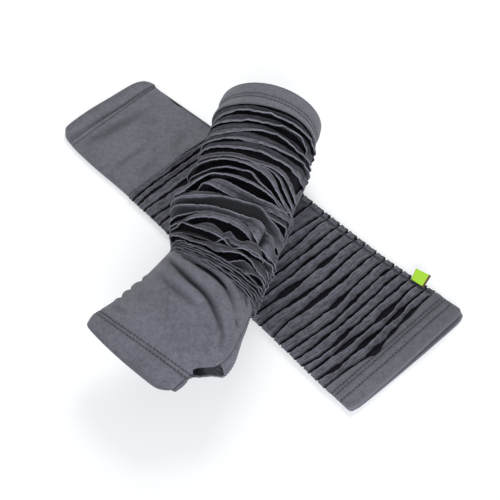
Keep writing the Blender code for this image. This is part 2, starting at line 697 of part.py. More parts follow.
def label_loop(tube):
    """The bare woven label, folded into a loop and caught in the flat one's seam."""
    half = LABEL_THICK / 2
    outline = [(0.0, half), (0.0, -half)]
    for step in range(5):
        turn = math.radians(-90 + 45 * step)
        outline.append((1.0, 0.0, half * math.cos(turn), half * math.sin(turn)))
    up = np.array([0.0, 0.0, 1.0])
    rows = []
    for end in LABEL_ENDS:
        foot = tube.point(end.along, 0.0, tube.seam_level + SEAM_GAP + half + 0.5)
        run = end.reach * tube.side - end.lean * tube.axis + end.rise * up
        length = np.linalg.norm(run)
        over = up - run * (run @ up) / length**2
        over = over / np.linalg.norm(over)
        row = []
        for place in outline:
            if len(place) == 2:
                row.append(foot + place[1] * over)
            else:
                row.append(foot + run * (1 - half / length) + place[2] * run / length
                           + place[3] * over)
        rows.append(row)
    points = [p for row in rows for p in row]
    count = len(outline)
    faces = [[k, (k + 1) % count, count + (k + 1) % count, count + k] for k in range(count)]
    faces.append(list(range(count - 1, -1, -1)))
    faces.append(list(range(count, 2 * count)))
    return mesh_object("side_label", points, faces)


def fabric(name, colour, roughness):
    """A plain cloth material."""
    material = bpy.data.materials.new(name)
    material.use_nodes = True
    shader = material.node_tree.nodes["Principled BSDF"]
    shader.inputs["Base Color"].default_value = (*colour, 1.0)
    shader.inputs["Roughness"].default_value = roughness
    shader.inputs["Metallic"].default_value = 0.0
    material.diffuse_color = (*colour, 1.0)
    return material


def face_outwards(obj):
    """Turn a body's faces outwards if its volume comes out negative."""
    mesh = obj.data
    mesh.calc_loop_triangles()
    volume = 0.0
    for triangle in mesh.loop_triangles:
        a, b, c = (mesh.vertices[i].co for i in triangle.vertices)
        volume += a.dot(b.cross(c))
    if volume < 0:
        mesh.flip_normals()


def build():
    """Build every piece of the pair and put it in the collection."""
    for obj in list(bpy.data.objects):
        bpy.data.objects.remove(obj, do_unlink=True)
    collection = bpy.data.collections.new(COLLECTION)
    bpy.context.scene.collection.children.link(collection)
    worn = WornTube()
    flat = FlatTube()
    half_gap = SEAM_GAP / 2
    jersey = fabric("jersey", CHARCOAL, 0.92)
    slashed = fabric("slashed_jersey", CHARCOAL_DEEP, 0.95)
    woven = fabric("woven_label", LIME, 0.7)

    worn_hand_rings = (WORN_WRIST + half_gap, 190, 194, 198, 202, 206, 210, 215, 220, 226, 232.9,
                       234.5, 236.5, 239, 242, 245, 248, 250.2, 251.3, 251.9,
                       WORN_KNUCKLE_HEM - half_gap)
    worn_tilt = [0.0] * 13 + [0.1, 0.2, 0.3, 0.5, 0.6, 0.7, 0.8, 1.0]
    flat_hand_rings = (FLAT_KNUCKLE_HEM + half_gap, 24, 29.9, 33, 38, 45, 52, 57, 60.1, 74,
                       FLAT_WRIST - half_gap)
    pieces = (
        (sleeve("worn_sleeve", worn, WORN_SLITS, WORN_GAPES, WORN_ELBOW_HEM + half_gap,
                WORN_WRIST - half_gap, WORN_ANGLES, (-0.6, 0.6), 18), slashed),
        (hand_wall("worn_hand", worn, worn_hand_rings, HAND_ANGLES, WORN_THUMB,
                   KNUCKLE_HEM_TILT, worn_tilt), jersey),
        (plain_wall("worn_knuckle_hem", worn, (WORN_KNUCKLE_HEM + half_gap, 258, 265, WORN_LENGTH),
                    HAND_ANGLES, HEM_WALL, HEM_PROUD, KNUCKLE_HEM_TILT, (1, 0.8, 0.4, 0)), jersey),
        (plain_wall("worn_elbow_hem", worn, (0.0, 8.0, 17.0, WORN_ELBOW_HEM - half_gap),
                    WORN_ANGLES, HEM_WALL, HEM_PROUD), jersey),
        (sleeve("flat_sleeve", flat, FLAT_SLITS, FLAT_GAPES, FLAT_WRIST + half_gap,
                FLAT_ELBOW_HEM - half_gap, FLAT_ANGLES, (0.0,), 12), slashed),
        (hand_wall("flat_hand", flat, flat_hand_rings, FLAT_ANGLES, FLAT_THUMB,
                   -KNUCKLE_HEM_TILT, (1, 0.5, 0.2) + (0,) * 8), jersey),
        (plain_wall("flat_knuckle_hem", flat, (0.0, 7.0, 14.0, FLAT_KNUCKLE_HEM - half_gap),
                    FLAT_ANGLES, JERSEY, 0.0, -KNUCKLE_HEM_TILT, (0, 0.4, 0.8, 1)), jersey),
        (plain_wall("flat_elbow_hem", flat, (FLAT_ELBOW_HEM + half_gap, 348.0, 355.0, FLAT_LENGTH),
                    FLAT_ANGLES, JERSEY), jersey),
        (label_loop(flat), woven),
    )
    for obj, material in pieces:
        obj.data.materials.append(material)
        face_outwards(obj)
        obj.data.shade_smooth()
        obj.data.set_sharp_from_angle(angle=math.radians(50))
        collection.objects.link(obj)


build()
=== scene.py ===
"""Dress the pair of long fingerless arm warmers: cloth, sewing, light and camera.

The left one lies flat and the right one, in worn form, lies across it. Each has a plain
hand with a turned knuckle hem, a backing tube, a slashed panel of strips that is sewn to
it row by row, and a turned elbow band. Tables are in millimetres and degrees. Around a
tube the angle runs from the side seam (0) over the top to the fold side (180) and back
underneath (360).
"""

import sys
import logging
import math
from dataclasses import astuple, dataclass, field
from enum import Enum, IntEnum
from typing import Sequence

import bpy
import numpy as np
from mathutils import Euler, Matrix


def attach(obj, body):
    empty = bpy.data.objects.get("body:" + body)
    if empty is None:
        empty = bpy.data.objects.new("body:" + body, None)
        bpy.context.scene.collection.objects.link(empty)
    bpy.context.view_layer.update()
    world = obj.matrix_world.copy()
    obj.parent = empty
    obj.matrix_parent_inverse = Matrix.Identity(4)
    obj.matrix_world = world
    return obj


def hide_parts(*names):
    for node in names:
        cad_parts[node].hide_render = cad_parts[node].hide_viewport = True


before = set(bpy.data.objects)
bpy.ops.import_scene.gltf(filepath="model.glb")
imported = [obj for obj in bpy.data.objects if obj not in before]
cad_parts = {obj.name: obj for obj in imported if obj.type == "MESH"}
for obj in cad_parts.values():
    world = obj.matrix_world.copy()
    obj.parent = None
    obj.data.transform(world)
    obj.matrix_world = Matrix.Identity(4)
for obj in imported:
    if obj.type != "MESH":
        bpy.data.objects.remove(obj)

Array = np.ndarray
MM = 0.001
CENTRE = np.array([-2.8, 0.3, 0.0])
UP = np.array([0.0, 0.0, 1.0])

logging.basicConfig(level=logging.INFO, format="%(message)s", stream=sys.stdout)
log = logging.getLogger("arm_warmers")


# --- small sums ---------------------------------------------------------------------

def table(kind: type, rows: Sequence[Sequence[float]]) -> tuple:
    """Rows of numbers as records, whose fields name the columns."""
    return tuple(kind(*row) for row in rows)


def columns(records: Sequence) -> Array:
    """A table's numbers as an array, one row for each record."""
    return np.array([astuple(record) for record in records], dtype=float)


def smooth_track(knots: Array, values: Array, at: Array) -> Array:
    """Read a smooth curve through a table.

    Args:
        knots: places of the table's rows.
        values: one number or one row of numbers for each knot.
        at: places to read.

    Returns:
        The curve's values at those places.
    """
    knots, values, at = (np.asarray(item, dtype=float) for item in (knots, values, at))
    slopes = np.gradient(values, knots, axis=0)
    low = np.clip(np.searchsorted(knots, at, side="right") - 1, 0, len(knots) - 2)
    span = knots[low + 1] - knots[low]
    t = (at - knots[low]) / span
    if values.ndim == 2:
        span, t = span[..., None], t[..., None]
    return ((2 * t**3 - 3 * t**2 + 1) * values[low] + (t**3 - 2 * t**2 + t) * span * slopes[low]
            + (3 * t**2 - 2 * t**3) * values[low + 1] + (t**3 - t**2) * span * slopes[low + 1])


def within(value: Array) -> Array:
    """The value kept between 0 and 1."""
    return np.clip(value, 0.0, 1.0)


def eased(share: Array) -> Array:
    """A share from 0 to 1 that leaves and arrives gently."""
    return share * share * (3.0 - 2.0 * share)


def hump(gap: Array, width: float) -> Array:
    """1 where the gap is none, falling smoothly to 0 over a width."""
    return np.exp(-(gap / width) ** 2)


def turned_from(angle: Array, centre: float) -> Array:
    """How far an angle lies beyond a centre, from -180 to 180."""
    return (np.asarray(angle, dtype=float) - centre + 180.0) % 360.0 - 180.0


def from_seam(angle: Array) -> Array:
    """Shortest way round the tube to the side seam, in degrees."""
    return np.abs(turned_from(angle, 0.0))


def ripple(seed: int, angle: Array, waves: Sequence[int]) -> Array:
    """An uneven line round a tube, from about -1 to 1, that closes.

    Args:
        seed: picks the line.
        angle: places round the tube.
        waves: how many waves of each kind go round.

    Returns:
        The line's height at each place.
    """
    phases = np.random.default_rng(seed).uniform(0.0, 2.0 * math.pi, len(waves))
    turn = np.radians(np.asarray(angle, dtype=float))
    return sum(np.sin(wave * turn + phase) for wave, phase in zip(waves, phases)) / math.sqrt(len(waves))


def unit(vectors: Array) -> Array:
    """The vectors at length one."""
    return vectors / np.maximum(np.linalg.norm(vectors, axis=-1, keepdims=True), 1e-12)


# --- tables that the frame shares ---------------------------------------------------

@dataclass(frozen=True)
class Ring:
    """One cross-section of the worn tube, measured on the cloth under the strips."""

    along: float
    x: float
    y: float
    z: float
    half_width: float
    half_height: float
    turn: float
    slope: float
    seam: float


@dataclass(frozen=True)
class Flat:
    """Where the flat tube's two edges lie across its axis, and how its mouth gapes."""

    along: float
    fold: float
    edge: float
    seam_in: float
    gape: float


@dataclass(frozen=True)
class Slit:
    """How far along the sleeve one slit lies, at five places round the visible side."""

    fold: float
    outer: float
    top: float
    inner: float
    seam: float


@dataclass(frozen=True)
class Gape:
    """Where a slit stands open: how wide, at which angle and over what reach."""

    slit: int
    angle: float
    reach: float
    width: float


@dataclass(frozen=True)
class Knot:
    """One place on a loose strip: its two edges, how high they stand, its hollow and the shade painted in
    it.
    """

    angle: float
    upper: float
    lower: float
    upper_lift: float
    lower_lift: float
    belly: float
    shade: float


WORN_RINGS = table(Ring, (
    # along     x       y     z  width height turn slope seam
    (   0,  15.5,   84.5, 44.5,   43,   34,   18, -3, -4),
    (21.5,   9.8,     64, 45.5,   42, 33.4,   19, -3, -4),
    (  42,   3.7,   42.4,   47, 40.6, 31.8,   19, -3, -4),
    (  64,  -0.9,     21,   48, 41.6, 31.5,   18, -3, -4),
    (  85,    -7,      1,   49, 40.3, 31.3,   17, -3, -4),
    (  99, -10.4,  -12.6, 49.6, 39.4, 31.2, 17.5, -4, -4),
    ( 117,   -17,  -29.5, 50.5, 41.5,   31,   18, -5, -4),
    ( 153, -23.5,  -64.2,   54, 38.2, 28.5,   24, -6, -2),
    ( 184, -30.2,  -91.4,   56,   35,   25,   35,  5,  0),
    ( 204, -39.3, -107.8,   54, 40.6,   24,   37, 12,  4),
    ( 222,   -50,   -119, 49.5, 44.6,   21,   38, 16,  8),
    ( 242, -63.7, -127.6,   44, 43.9,   18,   40, 20, 10),
    ( 257, -76.8, -134.2, 40.2, 42.9, 13.8, 41.5, 22, 10),
    ( 272,   -87,   -144, 36.6, 42.3, 10.4,   44, 22, 10),
))
FLAT_WIDTHS = table(Flat, (
    # along  fold  edge seam_in gape
    (    0, -47.8,   43,   0, 0.6),
    (    6, -51.5, 43.8,   0, 0.3),
    (   18,   -54, 44.4, 1.5,   0),
    (   40, -55.3, 45.8, 3.4,   0),
    (   85, -54.8, 48.6,   4,   0),
    (  125, -54.8,   50, 5.6,   0),
    (  190, -58.5, 51.2, 6.6,   0),
    (  255, -62.3, 51.3, 6.6,   0),
    (  290, -63.3, 52.2, 5.6,   0),
    (  330,   -65, 55.4,   5, 0.3),
    (  348, -65.6, 57.4, 3.6,   2),
    (361.5, -65.8, 58.2,   3, 4.6),
))

WORN_SLITS = table(Slit, (
    # fold, outer, top, inner, seam
    (25, 27, 27.5, 24.5, 23), (36, 36.5, 36, 33.5, 31), (43, 46, 45, 42, 42),
    (54, 58, 54.5, 53, 49), (62, 66, 66, 64, 56), (71, 75, 77, 75, 70), (83, 86, 87, 83.5, 89),
    (89.5, 91, 89.5, 92.5, 100.5), (97.5, 99, 95.5, 103, 103.5), (106, 103.5, 101.5, 107.5, 106),
    (118, 117.5, 110.5, 113, 109), (121, 121.5, 125, 122.5, 114.5),
    (127, 130, 129, 128.5, 123.5), (135, 140.5, 140.5, 139, 140.5),
    (147, 149.5, 145, 151.5, 148.5), (154, 157, 153.5, 155, 154), (160.5, 165, 165.5, 163, 157),
    (166, 170, 170.5, 167.5, 162), (170, 173, 174, 170.5, 166), (173, 175.5, 176.5, 173.5, 170),
    (175.5, 177.5, 178.5, 176, 173), (177.5, 179.3, 180, 178, 175.8),
    (179.3, 181, 181.5, 179.8, 178.2), (181, 182.4, 182.8, 181.4, 180.2),
    (182.6, 183.7, 184, 182.9, 182), (184.2, 185, 185.2, 184.4, 183.8),
))
FLAT_SLITS = table(Slit, (
    # fold, outer, top, inner, seam
    (98, 97, 96, 95.5, 95), (105, 103.5, 103, 102, 101), (112, 110, 109.5, 108.5, 108),
    (120, 120, 120, 119.5, 119), (130, 131, 131, 130.5, 130), (140, 139.5, 140, 140.5, 140),
    (151, 151.5, 152, 151.5, 151), (162, 163, 163.5, 163, 162.5), (173.5, 174, 175, 174.5, 174),
    (185, 186, 186.5, 186, 185.5), (197, 197.5, 198, 198, 197.5), (208, 208.5, 209, 208.5, 208),
    (219.5, 220, 220, 220.5, 222), (230, 230.5, 231, 230, 228.5),
    (238.5, 239, 240, 240.5, 239.5), (247, 248, 249, 248.5, 248.5),
    (255.5, 256.5, 258, 258.5, 258.5), (265.5, 266.5, 269, 269.5, 267.5),
    (279.5, 278, 279, 279.5, 278.5), (287.5, 289, 291.5, 290, 288),
    (296.5, 298.5, 300.5, 298, 297), (304.5, 306.5, 307, 306, 305),
    (312, 315.5, 315, 314, 313.5), (319.5, 321, 322.5, 323, 321),
    (327.5, 330, 330.5, 330, 328.5), (336, 337, 340, 337, 335.5),
))

WORN_GAPES = table(Gape, (
    # slit, angle, reach, width
    (1, 65, 55, 4.6), (2, 100, 40, 3.8), (2, 32, 20, 3.6), (3, 52, 26, 6.8), (3, 120, 35, 1.6),
    (4, 70, 34, 5.2), (5, 42, 30, 4.6), (5, 100, 30, 2.4), (6, 75, 42, 5.4), (7, 20, 14, 3.2),
    (8, 122, 24, 6.4), (8, 24, 22, 4.6), (9, 58, 16, 6.2), (9, 118, 20, 2.6), (11, 76, 30, 10.5),
    (12, 112, 14, 3.8), (12, 60, 40, 2.6), (13, 70, 38, 8.2), (13, 125, 22, 3.6),
    (14, 142, 20, 7.6), (15, 152, 12, 4.4), (15, 62, 14, 4), (16, 75, 24, 9.4),
    (17, 122, 24, 9.2), (17, 36, 14, 2.8), (18, 96, 12, 3.4), (19, 70, 16, 4.6),
    (20, 24, 16, 4.6), (21, 60, 12, 2.4), (22, 22, 12, 2.6), (24, 22, 12, 2), (26, 60, 50, 2),
))
FLAT_GAPES = table(Gape, (
    # slit, angle, reach, width
    (1, 56, 22, 2.4), (2, 83, 16, 3), (2, 38, 16, 3.4), (3, 121, 18, 2.4), (4, 90, 16, 4.2),
    (4, 60, 16, 3.2), (7, 60, 34, 3), (9, 80, 26, 2.6), (11, 70, 26, 2.8), (13, 12, 14, 2.6),
    (14, 100, 22, 2.2), (15, 40, 22, 2.2), (16, 58, 20, 2.8), (17, 44, 18, 3.9),
    (17, 101, 20, 5.2), (18, 98, 24, 3.2), (18, 48, 16, 2.6), (19, 84, 26, 4.5),
    (19, 50, 12, 3.3), (20, 74, 18, 3.9), (21, 64, 18, 3), (21, 12, 10, 2.4), (22, 118, 20, 2.4),
    (23, 102, 20, 3.2), (24, 50, 18, 4.8), (24, 104, 22, 3.6), (25, 45, 16, 3.8),
    (25, 90, 22, 3.9), (25, 134, 12, 2.9), (26, 36, 18, 3.4), (26, 62, 12, 3), (26, 90, 13, 5),
))

# The strips that twist loosely where the sleeve is bunched, by number from the elbow.
LOOSE_STRIPS = {number: table(Knot, rows) for number, rows in {
    # angle, upper, lower, upper lift, lower lift, belly, shade
    6: ((15, 86, 91.5, 2, 4, 0.8, 0), (25, 84, 91.5, 2, 4.5, 0.8, 0),
        (35, 82, 89.5, 2, 4.5, 0.8, 0), (45, 79.5, 86.5, 1.8, 4.5, 0.8, 0),
        (55, 79, 84.5, 1.5, 4, 0.5, 0.1), (65, 79.5, 84.5, 1.2, 3.5, 0.5, 0.2),
        (75, 80.5, 85.8, 1, 3, 0.3, 0.3), (90, 81, 85.8, 1, 3, 0.3, 0.3),
        (105, 79.5, 84.8, 1, 3, 0.3, 0.3), (120, 79, 84.8, 1, 2.5, 0.3, 0.3),
        (135, 78.5, 84.3, 1, 2.5, 0.3, 0.3), (150, 77, 83, 1, 2.5, 0.3, 0.2)),
    7: ((18, 93.8, 100, 2, 4.5, 0.8, 0), (28, 93.3, 100, 2, 4.5, 0.8, 0),
        (36, 91.3, 98.3, 2, 4.5, 0.8, 0), (44, 88.5, 95.5, 2, 4.5, 0.8, 0),
        (50, 86.3, 91.8, 2, 4.5, 0.8, 0.1), (58, 85, 88.3, 1.5, 4, 0.5, 0.2),
        (66, 85, 87, 1, 3.5, 0.3, 0.2), (80, 85.8, 87, 1, 2, 0, 0.4),
        (100, 85, 86, 1, 1.5, 0, 0.4), (125, 85, 86.5, 1, 1.5, 0, 0.4),
        (150, 84, 87.5, 1, 2.5, 0.2, 0.2)),
    8: ((14, 101, 105, 2.5, 4.5, 0.8, 0), (22, 101.5, 106, 2.5, 4.5, 0.8, 0),
        (32, 102, 107.5, 2.5, 4.5, 0.8, 0), (40, 100.5, 106.5, 2.5, 5, 0.8, 0),
        (47, 97.5, 104, 2.5, 5, 0.8, 0), (54, 93.5, 101, 3, 5, 0.8, 0),
        (62, 89.7, 97.3, 3, 5, 0.8, 0), (70, 87.7, 94.8, 3, 5, 0.8, 0),
        (80, 87, 93.3, 2.5, 5, 0.5, 0), (92, 87, 91.8, 2, 5, 0.5, 0),
        (105, 86.4, 90.6, 2, 5, 0.5, 0), (120, 86.8, 90.8, 2, 5, 0.5, 0),
        (135, 88.3, 91.8, 2, 5, 0.5, 0), (150, 88.8, 92.5, 2, 5, 0.5, 0),
        (165, 91.5, 95.5, 2, 5, 0.5, 0)),
    9: ((30, 108.8, 110, 2, 4, 0.3, 0.2), (42, 108.3, 109.3, 2, 4, 0.3, 0.2),
        (50, 106.2, 107.7, 2, 4, 0.3, 0.2), (60, 103.8, 106, 2, 4.5, 0.3, 0.1),
        (67, 102.6, 105.2, 2.5, 5, 0.3, 0), (73, 100.2, 103.5, 3, 5, 0.5, 0),
        (78, 97.8, 101.3, 3.5, 5.5, 0.5, 0), (84, 96.7, 99.3, 3.5, 5.5, 0.5, 0),
        (91, 97.2, 99.5, 3, 5, 0.5, 0), (97, 95.8, 98.8, 2, 4.5, 0.5, 0.1),
        (108, 94.5, 98.3, 1.5, 4, 0.5, 0.2), (120, 96.5, 99.7, 1.5, 4, 0.3, 0.2),
        (135, 99.5, 102, 1.5, 3.5, 0.3, 0.3), (150, 100.5, 103, 1.5, 3.5, 0.3, 0.3)),
    10: ((22, 106.8, 109.5, 3, 3.5, 0.5, 0.1), (34, 110.3, 112, 3, 4, 0.3, 0.1),
        (42, 109.8, 111.8, 3, 4.5, 0.3, 0), (50, 108, 111, 2.5, 5, 0.5, 0),
        (60, 106.3, 110.5, 2, 5.5, 0.8, 0), (75, 104.8, 109.8, 2, 5.8, 1, 0),
        (90, 103.7, 109, 2, 5.8, 1, 0), (105, 104, 108.2, 2, 5.8, 1, 0),
        (120, 104.3, 109, 1.5, 5.8, 1, 0), (128, 103.8, 114.5, 1.5, 5.5, 1, 0.1),
        (135, 104.5, 120.3, 1.5, 5.5, 1, 0.2), (143, 107, 123.3, 1.5, 5, 1, 0.2),
        (152, 108, 122.5, 1.5, 4.5, 1, 0.1), (165, 109.5, 118, 2, 4.5, 1, 0)),
    11: ((10, 105.5, 109, 2.5, 4, 1, 0), (20, 108.3, 113.5, 3.5, 4, 1, 0),
        (34, 112.5, 118.3, 5, 4, 1, 0), (42, 115, 120, 5.5, 3, 0.5, 0),
        (51, 117, 122, 5.8, 2.5, 0, 0.2), (65, 119.8, 125, 6, 2, 0, 0.4),
        (74, 119.8, 125.5, 6, 2, 0, 0.4), (84, 118.3, 125.3, 6, 2, 0, 0.3),
        (93, 115.8, 124.3, 5.5, 3, 0, 0.2), (102, 113, 122.3, 4.5, 4, 0.3, 0.1),
        (110, 111.5, 120.5, 3.5, 5, 0.5, 0), (116, 113.5, 119.3, 3.5, 5.5, 0.5, 0),
        (121, 116.5, 118.5, 3, 5, 0.3, 0), (128, 118.5, 119.8, 0.6, 0.8, 0, 0.6),
        (150, 117.5, 119, 0.6, 0.8, 0, 0.6)),
    12: ((15, 112.5, 118, 2, 4, 0, 0.1), (30, 117.5, 123, 1.5, 4, 0, 0.2),
        (45, 121.5, 126, 1.5, 3.5, 0, 0.3), (60, 122.5, 124, 1.5, 3.5, 0, 0.4),
        (75, 125, 126.8, 1.5, 3.5, 0, 0.4), (90, 125, 128, 1.5, 3.5, 0, 0.4),
        (105, 124.5, 129, 1.5, 3.5, 0, 0.3), (120, 123.5, 130.3, 1.5, 4, 0, 0.2),
        (135, 123.5, 129.3, 2, 4, 0.5, 0.1), (150, 124.8, 128.3, 2.5, 4.5, 1, 0),
        (165, 121.5, 125.5, 3, 4.5, 1, 0)),
    13: ((9, 126, 136, 3.5, 2, 0.5, 0), (22, 128, 138.5, 4, 1.5, 0, 0.2),
        (35, 128.5, 138.5, 4.5, 1, -0.5, 0.4), (47, 128.5, 137.5, 4.5, 1, -0.5, 0.6),
        (60, 124.8, 136, 4.5, 0.8, -1, 0.7), (75, 127.2, 139.5, 4.5, 0.8, -1, 0.7),
        (90, 128.5, 140, 4, 0.8, -1, 0.7), (105, 130, 140, 4, 0.8, -1, 0.7),
        (120, 132, 140.5, 4, 0.8, -1, 0.7), (135, 131, 138.3, 4, 1, -1, 0.6),
        (150, 128.5, 134.5, 4.5, 1.5, -0.5, 0.5), (168, 126.5, 133, 4.5, 2.5, 0, 0.2)),
    14: ((8, 141, 146, 3, 3, 1, 0), (16, 144, 150.5, 3, 3, 1, 0.1),
        (22, 144.5, 153.5, 3.5, 3.5, 1, 0.1), (28, 142, 154.5, 4.5, 4, 1.5, 0),
        (34, 140.5, 154, 5, 4, 1.5, 0), (39.5, 139.8, 152.5, 4, 2.5, 1, 0.3),
        (43.5, 139.2, 152, 3, 0.2, -1.5, 0.9), (48, 138.5, 151.5, 4.5, 3.5, 1.5, 0.1),
        (54, 137.5, 151, 5.5, 4.5, 2, 0), (60, 137.5, 147, 5, 3, 0.5, 0.2),
        (66, 139.5, 143, 5, 2, 0, 0.3), (75, 141, 143.5, 5, 2, 0, 0.3),
        (90, 141.5, 144, 4.5, 2, 0, 0.3), (105, 141, 144.5, 4.5, 2, 0, 0.3),
        (118, 141.5, 146.5, 4.5, 3, -1.5, 0.4), (135, 139.5, 148.5, 4.5, 3.5, -2.5, 0.6),
        (150, 136, 148, 4.5, 4, -2.5, 0.6), (168, 134.5, 147, 4.5, 4.5, -2, 0.4)),
    15: ((50, 151.5, 154, 0.8, 1, 0, 0.4), (56, 149.5, 153, 1.5, 2, 0.5, 0.2),
        (63, 146.5, 152, 2.5, 3.5, 1, 0), (75, 145, 151.5, 3, 4.5, 1.2, 0),
        (90, 145.2, 151.5, 3, 5, 1.2, 0), (105, 145.8, 152.2, 3, 5, 1.2, 0),
        (120, 148.3, 154.3, 3, 5, 1.2, 0), (132, 151.5, 156.5, 2.5, 4.5, 1, 0),
        (142, 152.5, 156.8, 2, 3.5, 0.5, 0.2), (155, 151, 155, 2, 3.5, 0, 0.3),
        (168, 149, 153.5, 2, 4, 0, 0.2)),
    16: ((72, 163.5, 165.5, 1, 1.5, 0, 0.4), (78, 161.8, 165.2, 1.5, 3, 0.5, 0.1),
        (84, 160, 165, 1.5, 4.5, 0.8, 0), (90, 158, 165, 1.5, 5.5, 1, 0),
        (96, 155.8, 164.6, 1.5, 5.5, 1.2, 0), (104, 154.3, 164.3, 1.5, 5.5, 1.2, 0),
        (112, 156, 164, 1.5, 5.5, 1.2, 0), (120, 159.3, 163, 2, 5.5, 0.8, 0),
        (128, 159, 161.6, 3, 5.5, 0.5, 0), (136, 157, 159.3, 4, 5.5, 0.5, 0),
        (150, 157, 159, 1.5, 3, 0, 0.4), (165, 155, 157.5, 1.5, 3.5, 0, 0.3)),
    17: ((27, 157.5, 159, 1, 1.5, 0, 0.5), (34, 156.8, 158.8, 2, 4, 0, 0.1),
        (40, 154.5, 159.8, 2.5, 5.5, 0.8, 0), (46, 152.5, 160.6, 2.5, 6, 1, 0),
        (52, 153, 161.2, 2.5, 5.5, 1, 0), (58, 155, 161.5, 2.5, 5, 0.8, 0),
        (63, 158, 162, 3, 4, 0.5, 0.1), (69, 160.3, 163.3, 4.5, 3.5, 0.5, 0),
        (75, 160.3, 163.8, 5.5, 3.5, 0.5, 0), (80, 158.6, 162.5, 6, 4.5, 0.5, 0),
        (84, 161, 164.5, 5, 4, 0.3, 0.1), (90, 165.3, 167, 1, 1.5, 0, 0.6),
        (105, 166.3, 168, 0.6, 0.8, 0, 0.8), (120, 165.5, 167.3, 0.6, 0.8, 0, 0.8),
        (135, 163.5, 165.5, 0.6, 1, 0, 0.8), (150, 161, 163.5, 0.8, 1.5, 0, 0.6),
        (166, 159, 161.5, 1.5, 3.5, 0, 0.3)),
    18: ((12, 159.5, 165, 2.5, 3.5, 0.8, 0.1), (22, 159.5, 166.5, 2.5, 4, 0.8, 0.1),
        (31, 160, 167.8, 2, 4.5, 0.8, 0.1), (43, 162, 167, 1.5, 4.5, 0.5, 0.2),
        (52, 164, 166.5, 1.5, 4.5, 0.3, 0.1), (60, 164.8, 167, 2, 4.5, 0.3, 0),
        (66, 165.5, 168.3, 2, 4.5, 0.5, 0), (73, 166.5, 170.8, 2, 4.5, 0.8, 0),
        (80, 167, 173.3, 2, 4.5, 1, 0), (87, 168, 175.3, 2, 4, 1, 0),
        (95, 169.5, 174.3, 2, 3.5, 0.8, 0.1), (105, 171.5, 173.8, 2, 3.5, 0.3, 0.2),
        (116, 171.8, 175, 2, 4, 0.5, 0.1), (128, 170.3, 174, 2.5, 4.5, 0.8, 0),
        (138, 168.5, 172.3, 2.5, 4.5, 0.8, 0), (150, 166, 169.6, 3, 4.5, 0.8, 0),
        (165, 162.5, 166, 3, 4.5, 0.5, 0)),
    19: ((15, 166, 168, 3, 4, 0.3, 0.1), (24, 167.5, 169.2, 3.5, 4, 0.3, 0.1),
        (34, 168.8, 171, 3.5, 4, 0.5, 0.1), (40, 168.8, 172.8, 3.5, 4, 0.5, 0.1),
        (46, 168.5, 175, 3.5, 3.5, 0.5, 0.2), (53, 169.3, 177, 4, 2.5, 0, 0.3),
        (61, 173, 178, 4.5, 2, 0, 0.4), (68, 176.8, 179, 4.5, 2, 0, 0.3),
        (78, 178, 180, 3, 3, 0.3, 0.1), (90, 177, 179, 2, 4, 0.3, 0.1),
        (105, 175.8, 178.2, 2, 4, 0.3, 0.2), (120, 176.3, 178.3, 1.5, 4, 0.3, 0.2)),
}.items()}

WORN_LENGTH = 272.0
FLAT_LENGTH = 361.5
FLAT_START = np.array([-129.0, 142.5, 0.0])
FLAT_HEADING = -46.85
FLAT_THICKNESS = 4.2
TOP_END = 150.0
BEND_END = 210.0
UNDER_END = 330.0
TOP_MM = 110.0                # mean widths of the flat one's top run, its bend and all round
BEND_MM = 7.0
ROUND_MM = 238.0
WORN_RADIUS = 37.0

SLIT_PLACES = (0.0, 15.0, 50.0, 90.0, 130.0, 165.0, 180.0, 235.0, 305.0, 360.0)
SWAY = (0.6, -0.5)            # how a slit strays underneath
LEAST_GAPE = 0.5              # half widths of a closed slit, and of one beside the seam as a share
SEAM_SHARE = 0.12
SLIT_END = 9.0
UNDER_GAPE = Gape(slit=0, angle=220.0, reach=26.0, width=1.0)
UNDER_STEP = 47               # degrees from one slit's lower gape to the next, within a spread
UNDER_SPREAD = 110


@dataclass(frozen=True)
class Slashes:
    """The slits of one sleeve and where they stand open."""

    slits: tuple
    gapes: tuple

    def place(self, index: int, angle: Array) -> Array:
        """How far along the sleeve a slit lies at an angle round the tube."""
        slit = self.slits[index]
        under = 0.5 * (slit.seam + slit.fold)
        return smooth_track(SLIT_PLACES, (slit.seam, slit.seam, slit.inner, slit.top, slit.outer, slit.fold,
                                          slit.fold, under + SWAY[0], under + SWAY[1], slit.seam), angle)

    def half_width(self, index: int, angle: Array) -> Array:
        """Half of how far a slit stands open at an angle, closing up beside the seam."""
        under = UNDER_GAPE.angle + (index * UNDER_STEP) % UNDER_SPREAD
        half = LEAST_GAPE + UNDER_GAPE.width / 2 * hump(turned_from(angle, under), UNDER_GAPE.reach)
        for gape in self.gapes:
            if gape.slit == index + 1:
                wide = hump(turned_from(angle, gape.angle), gape.reach)
                half = np.maximum(half, gape.width / 2 * wide)
        return half * np.clip(from_seam(angle) / SLIT_END, SEAM_SHARE, 1.0)

    def edge(self, index: int, angle: Array, side: int, least: float = 0.0) -> Array:
        """Where the cloth on one side of a slit ends.

        Args:
            index: which slit, from 0.
            angle: places round the tube.
            side: 1 for the cloth beyond the slit, -1 for the cloth before it.
            least: the least half width that counts.

        Returns:
            Places along the sleeve.
        """
        return self.place(index, angle) + side * np.maximum(self.half_width(index, angle), least)


WORN_SLASHES = Slashes(WORN_SLITS, WORN_GAPES)
FLAT_SLASHES = Slashes(FLAT_SLITS, FLAT_GAPES)


@dataclass(frozen=True)
class Bulge:
    """Where the palm stands out round the base of the thumb."""

    along: float
    angle: float
    before: float
    after: float
    above: float
    below: float
    size: float

    def height(self, along: Array, angle: Array) -> Array:
        """How far the palm stands out at a place."""
        reach = np.where(along < self.along, self.before, self.after)
        turned = turned_from(angle, self.angle)
        spread = np.where(turned > 0, self.above, self.below)
        return self.size * np.exp(-((along - self.along) / reach) ** 2 - (turned / spread) ** 2)


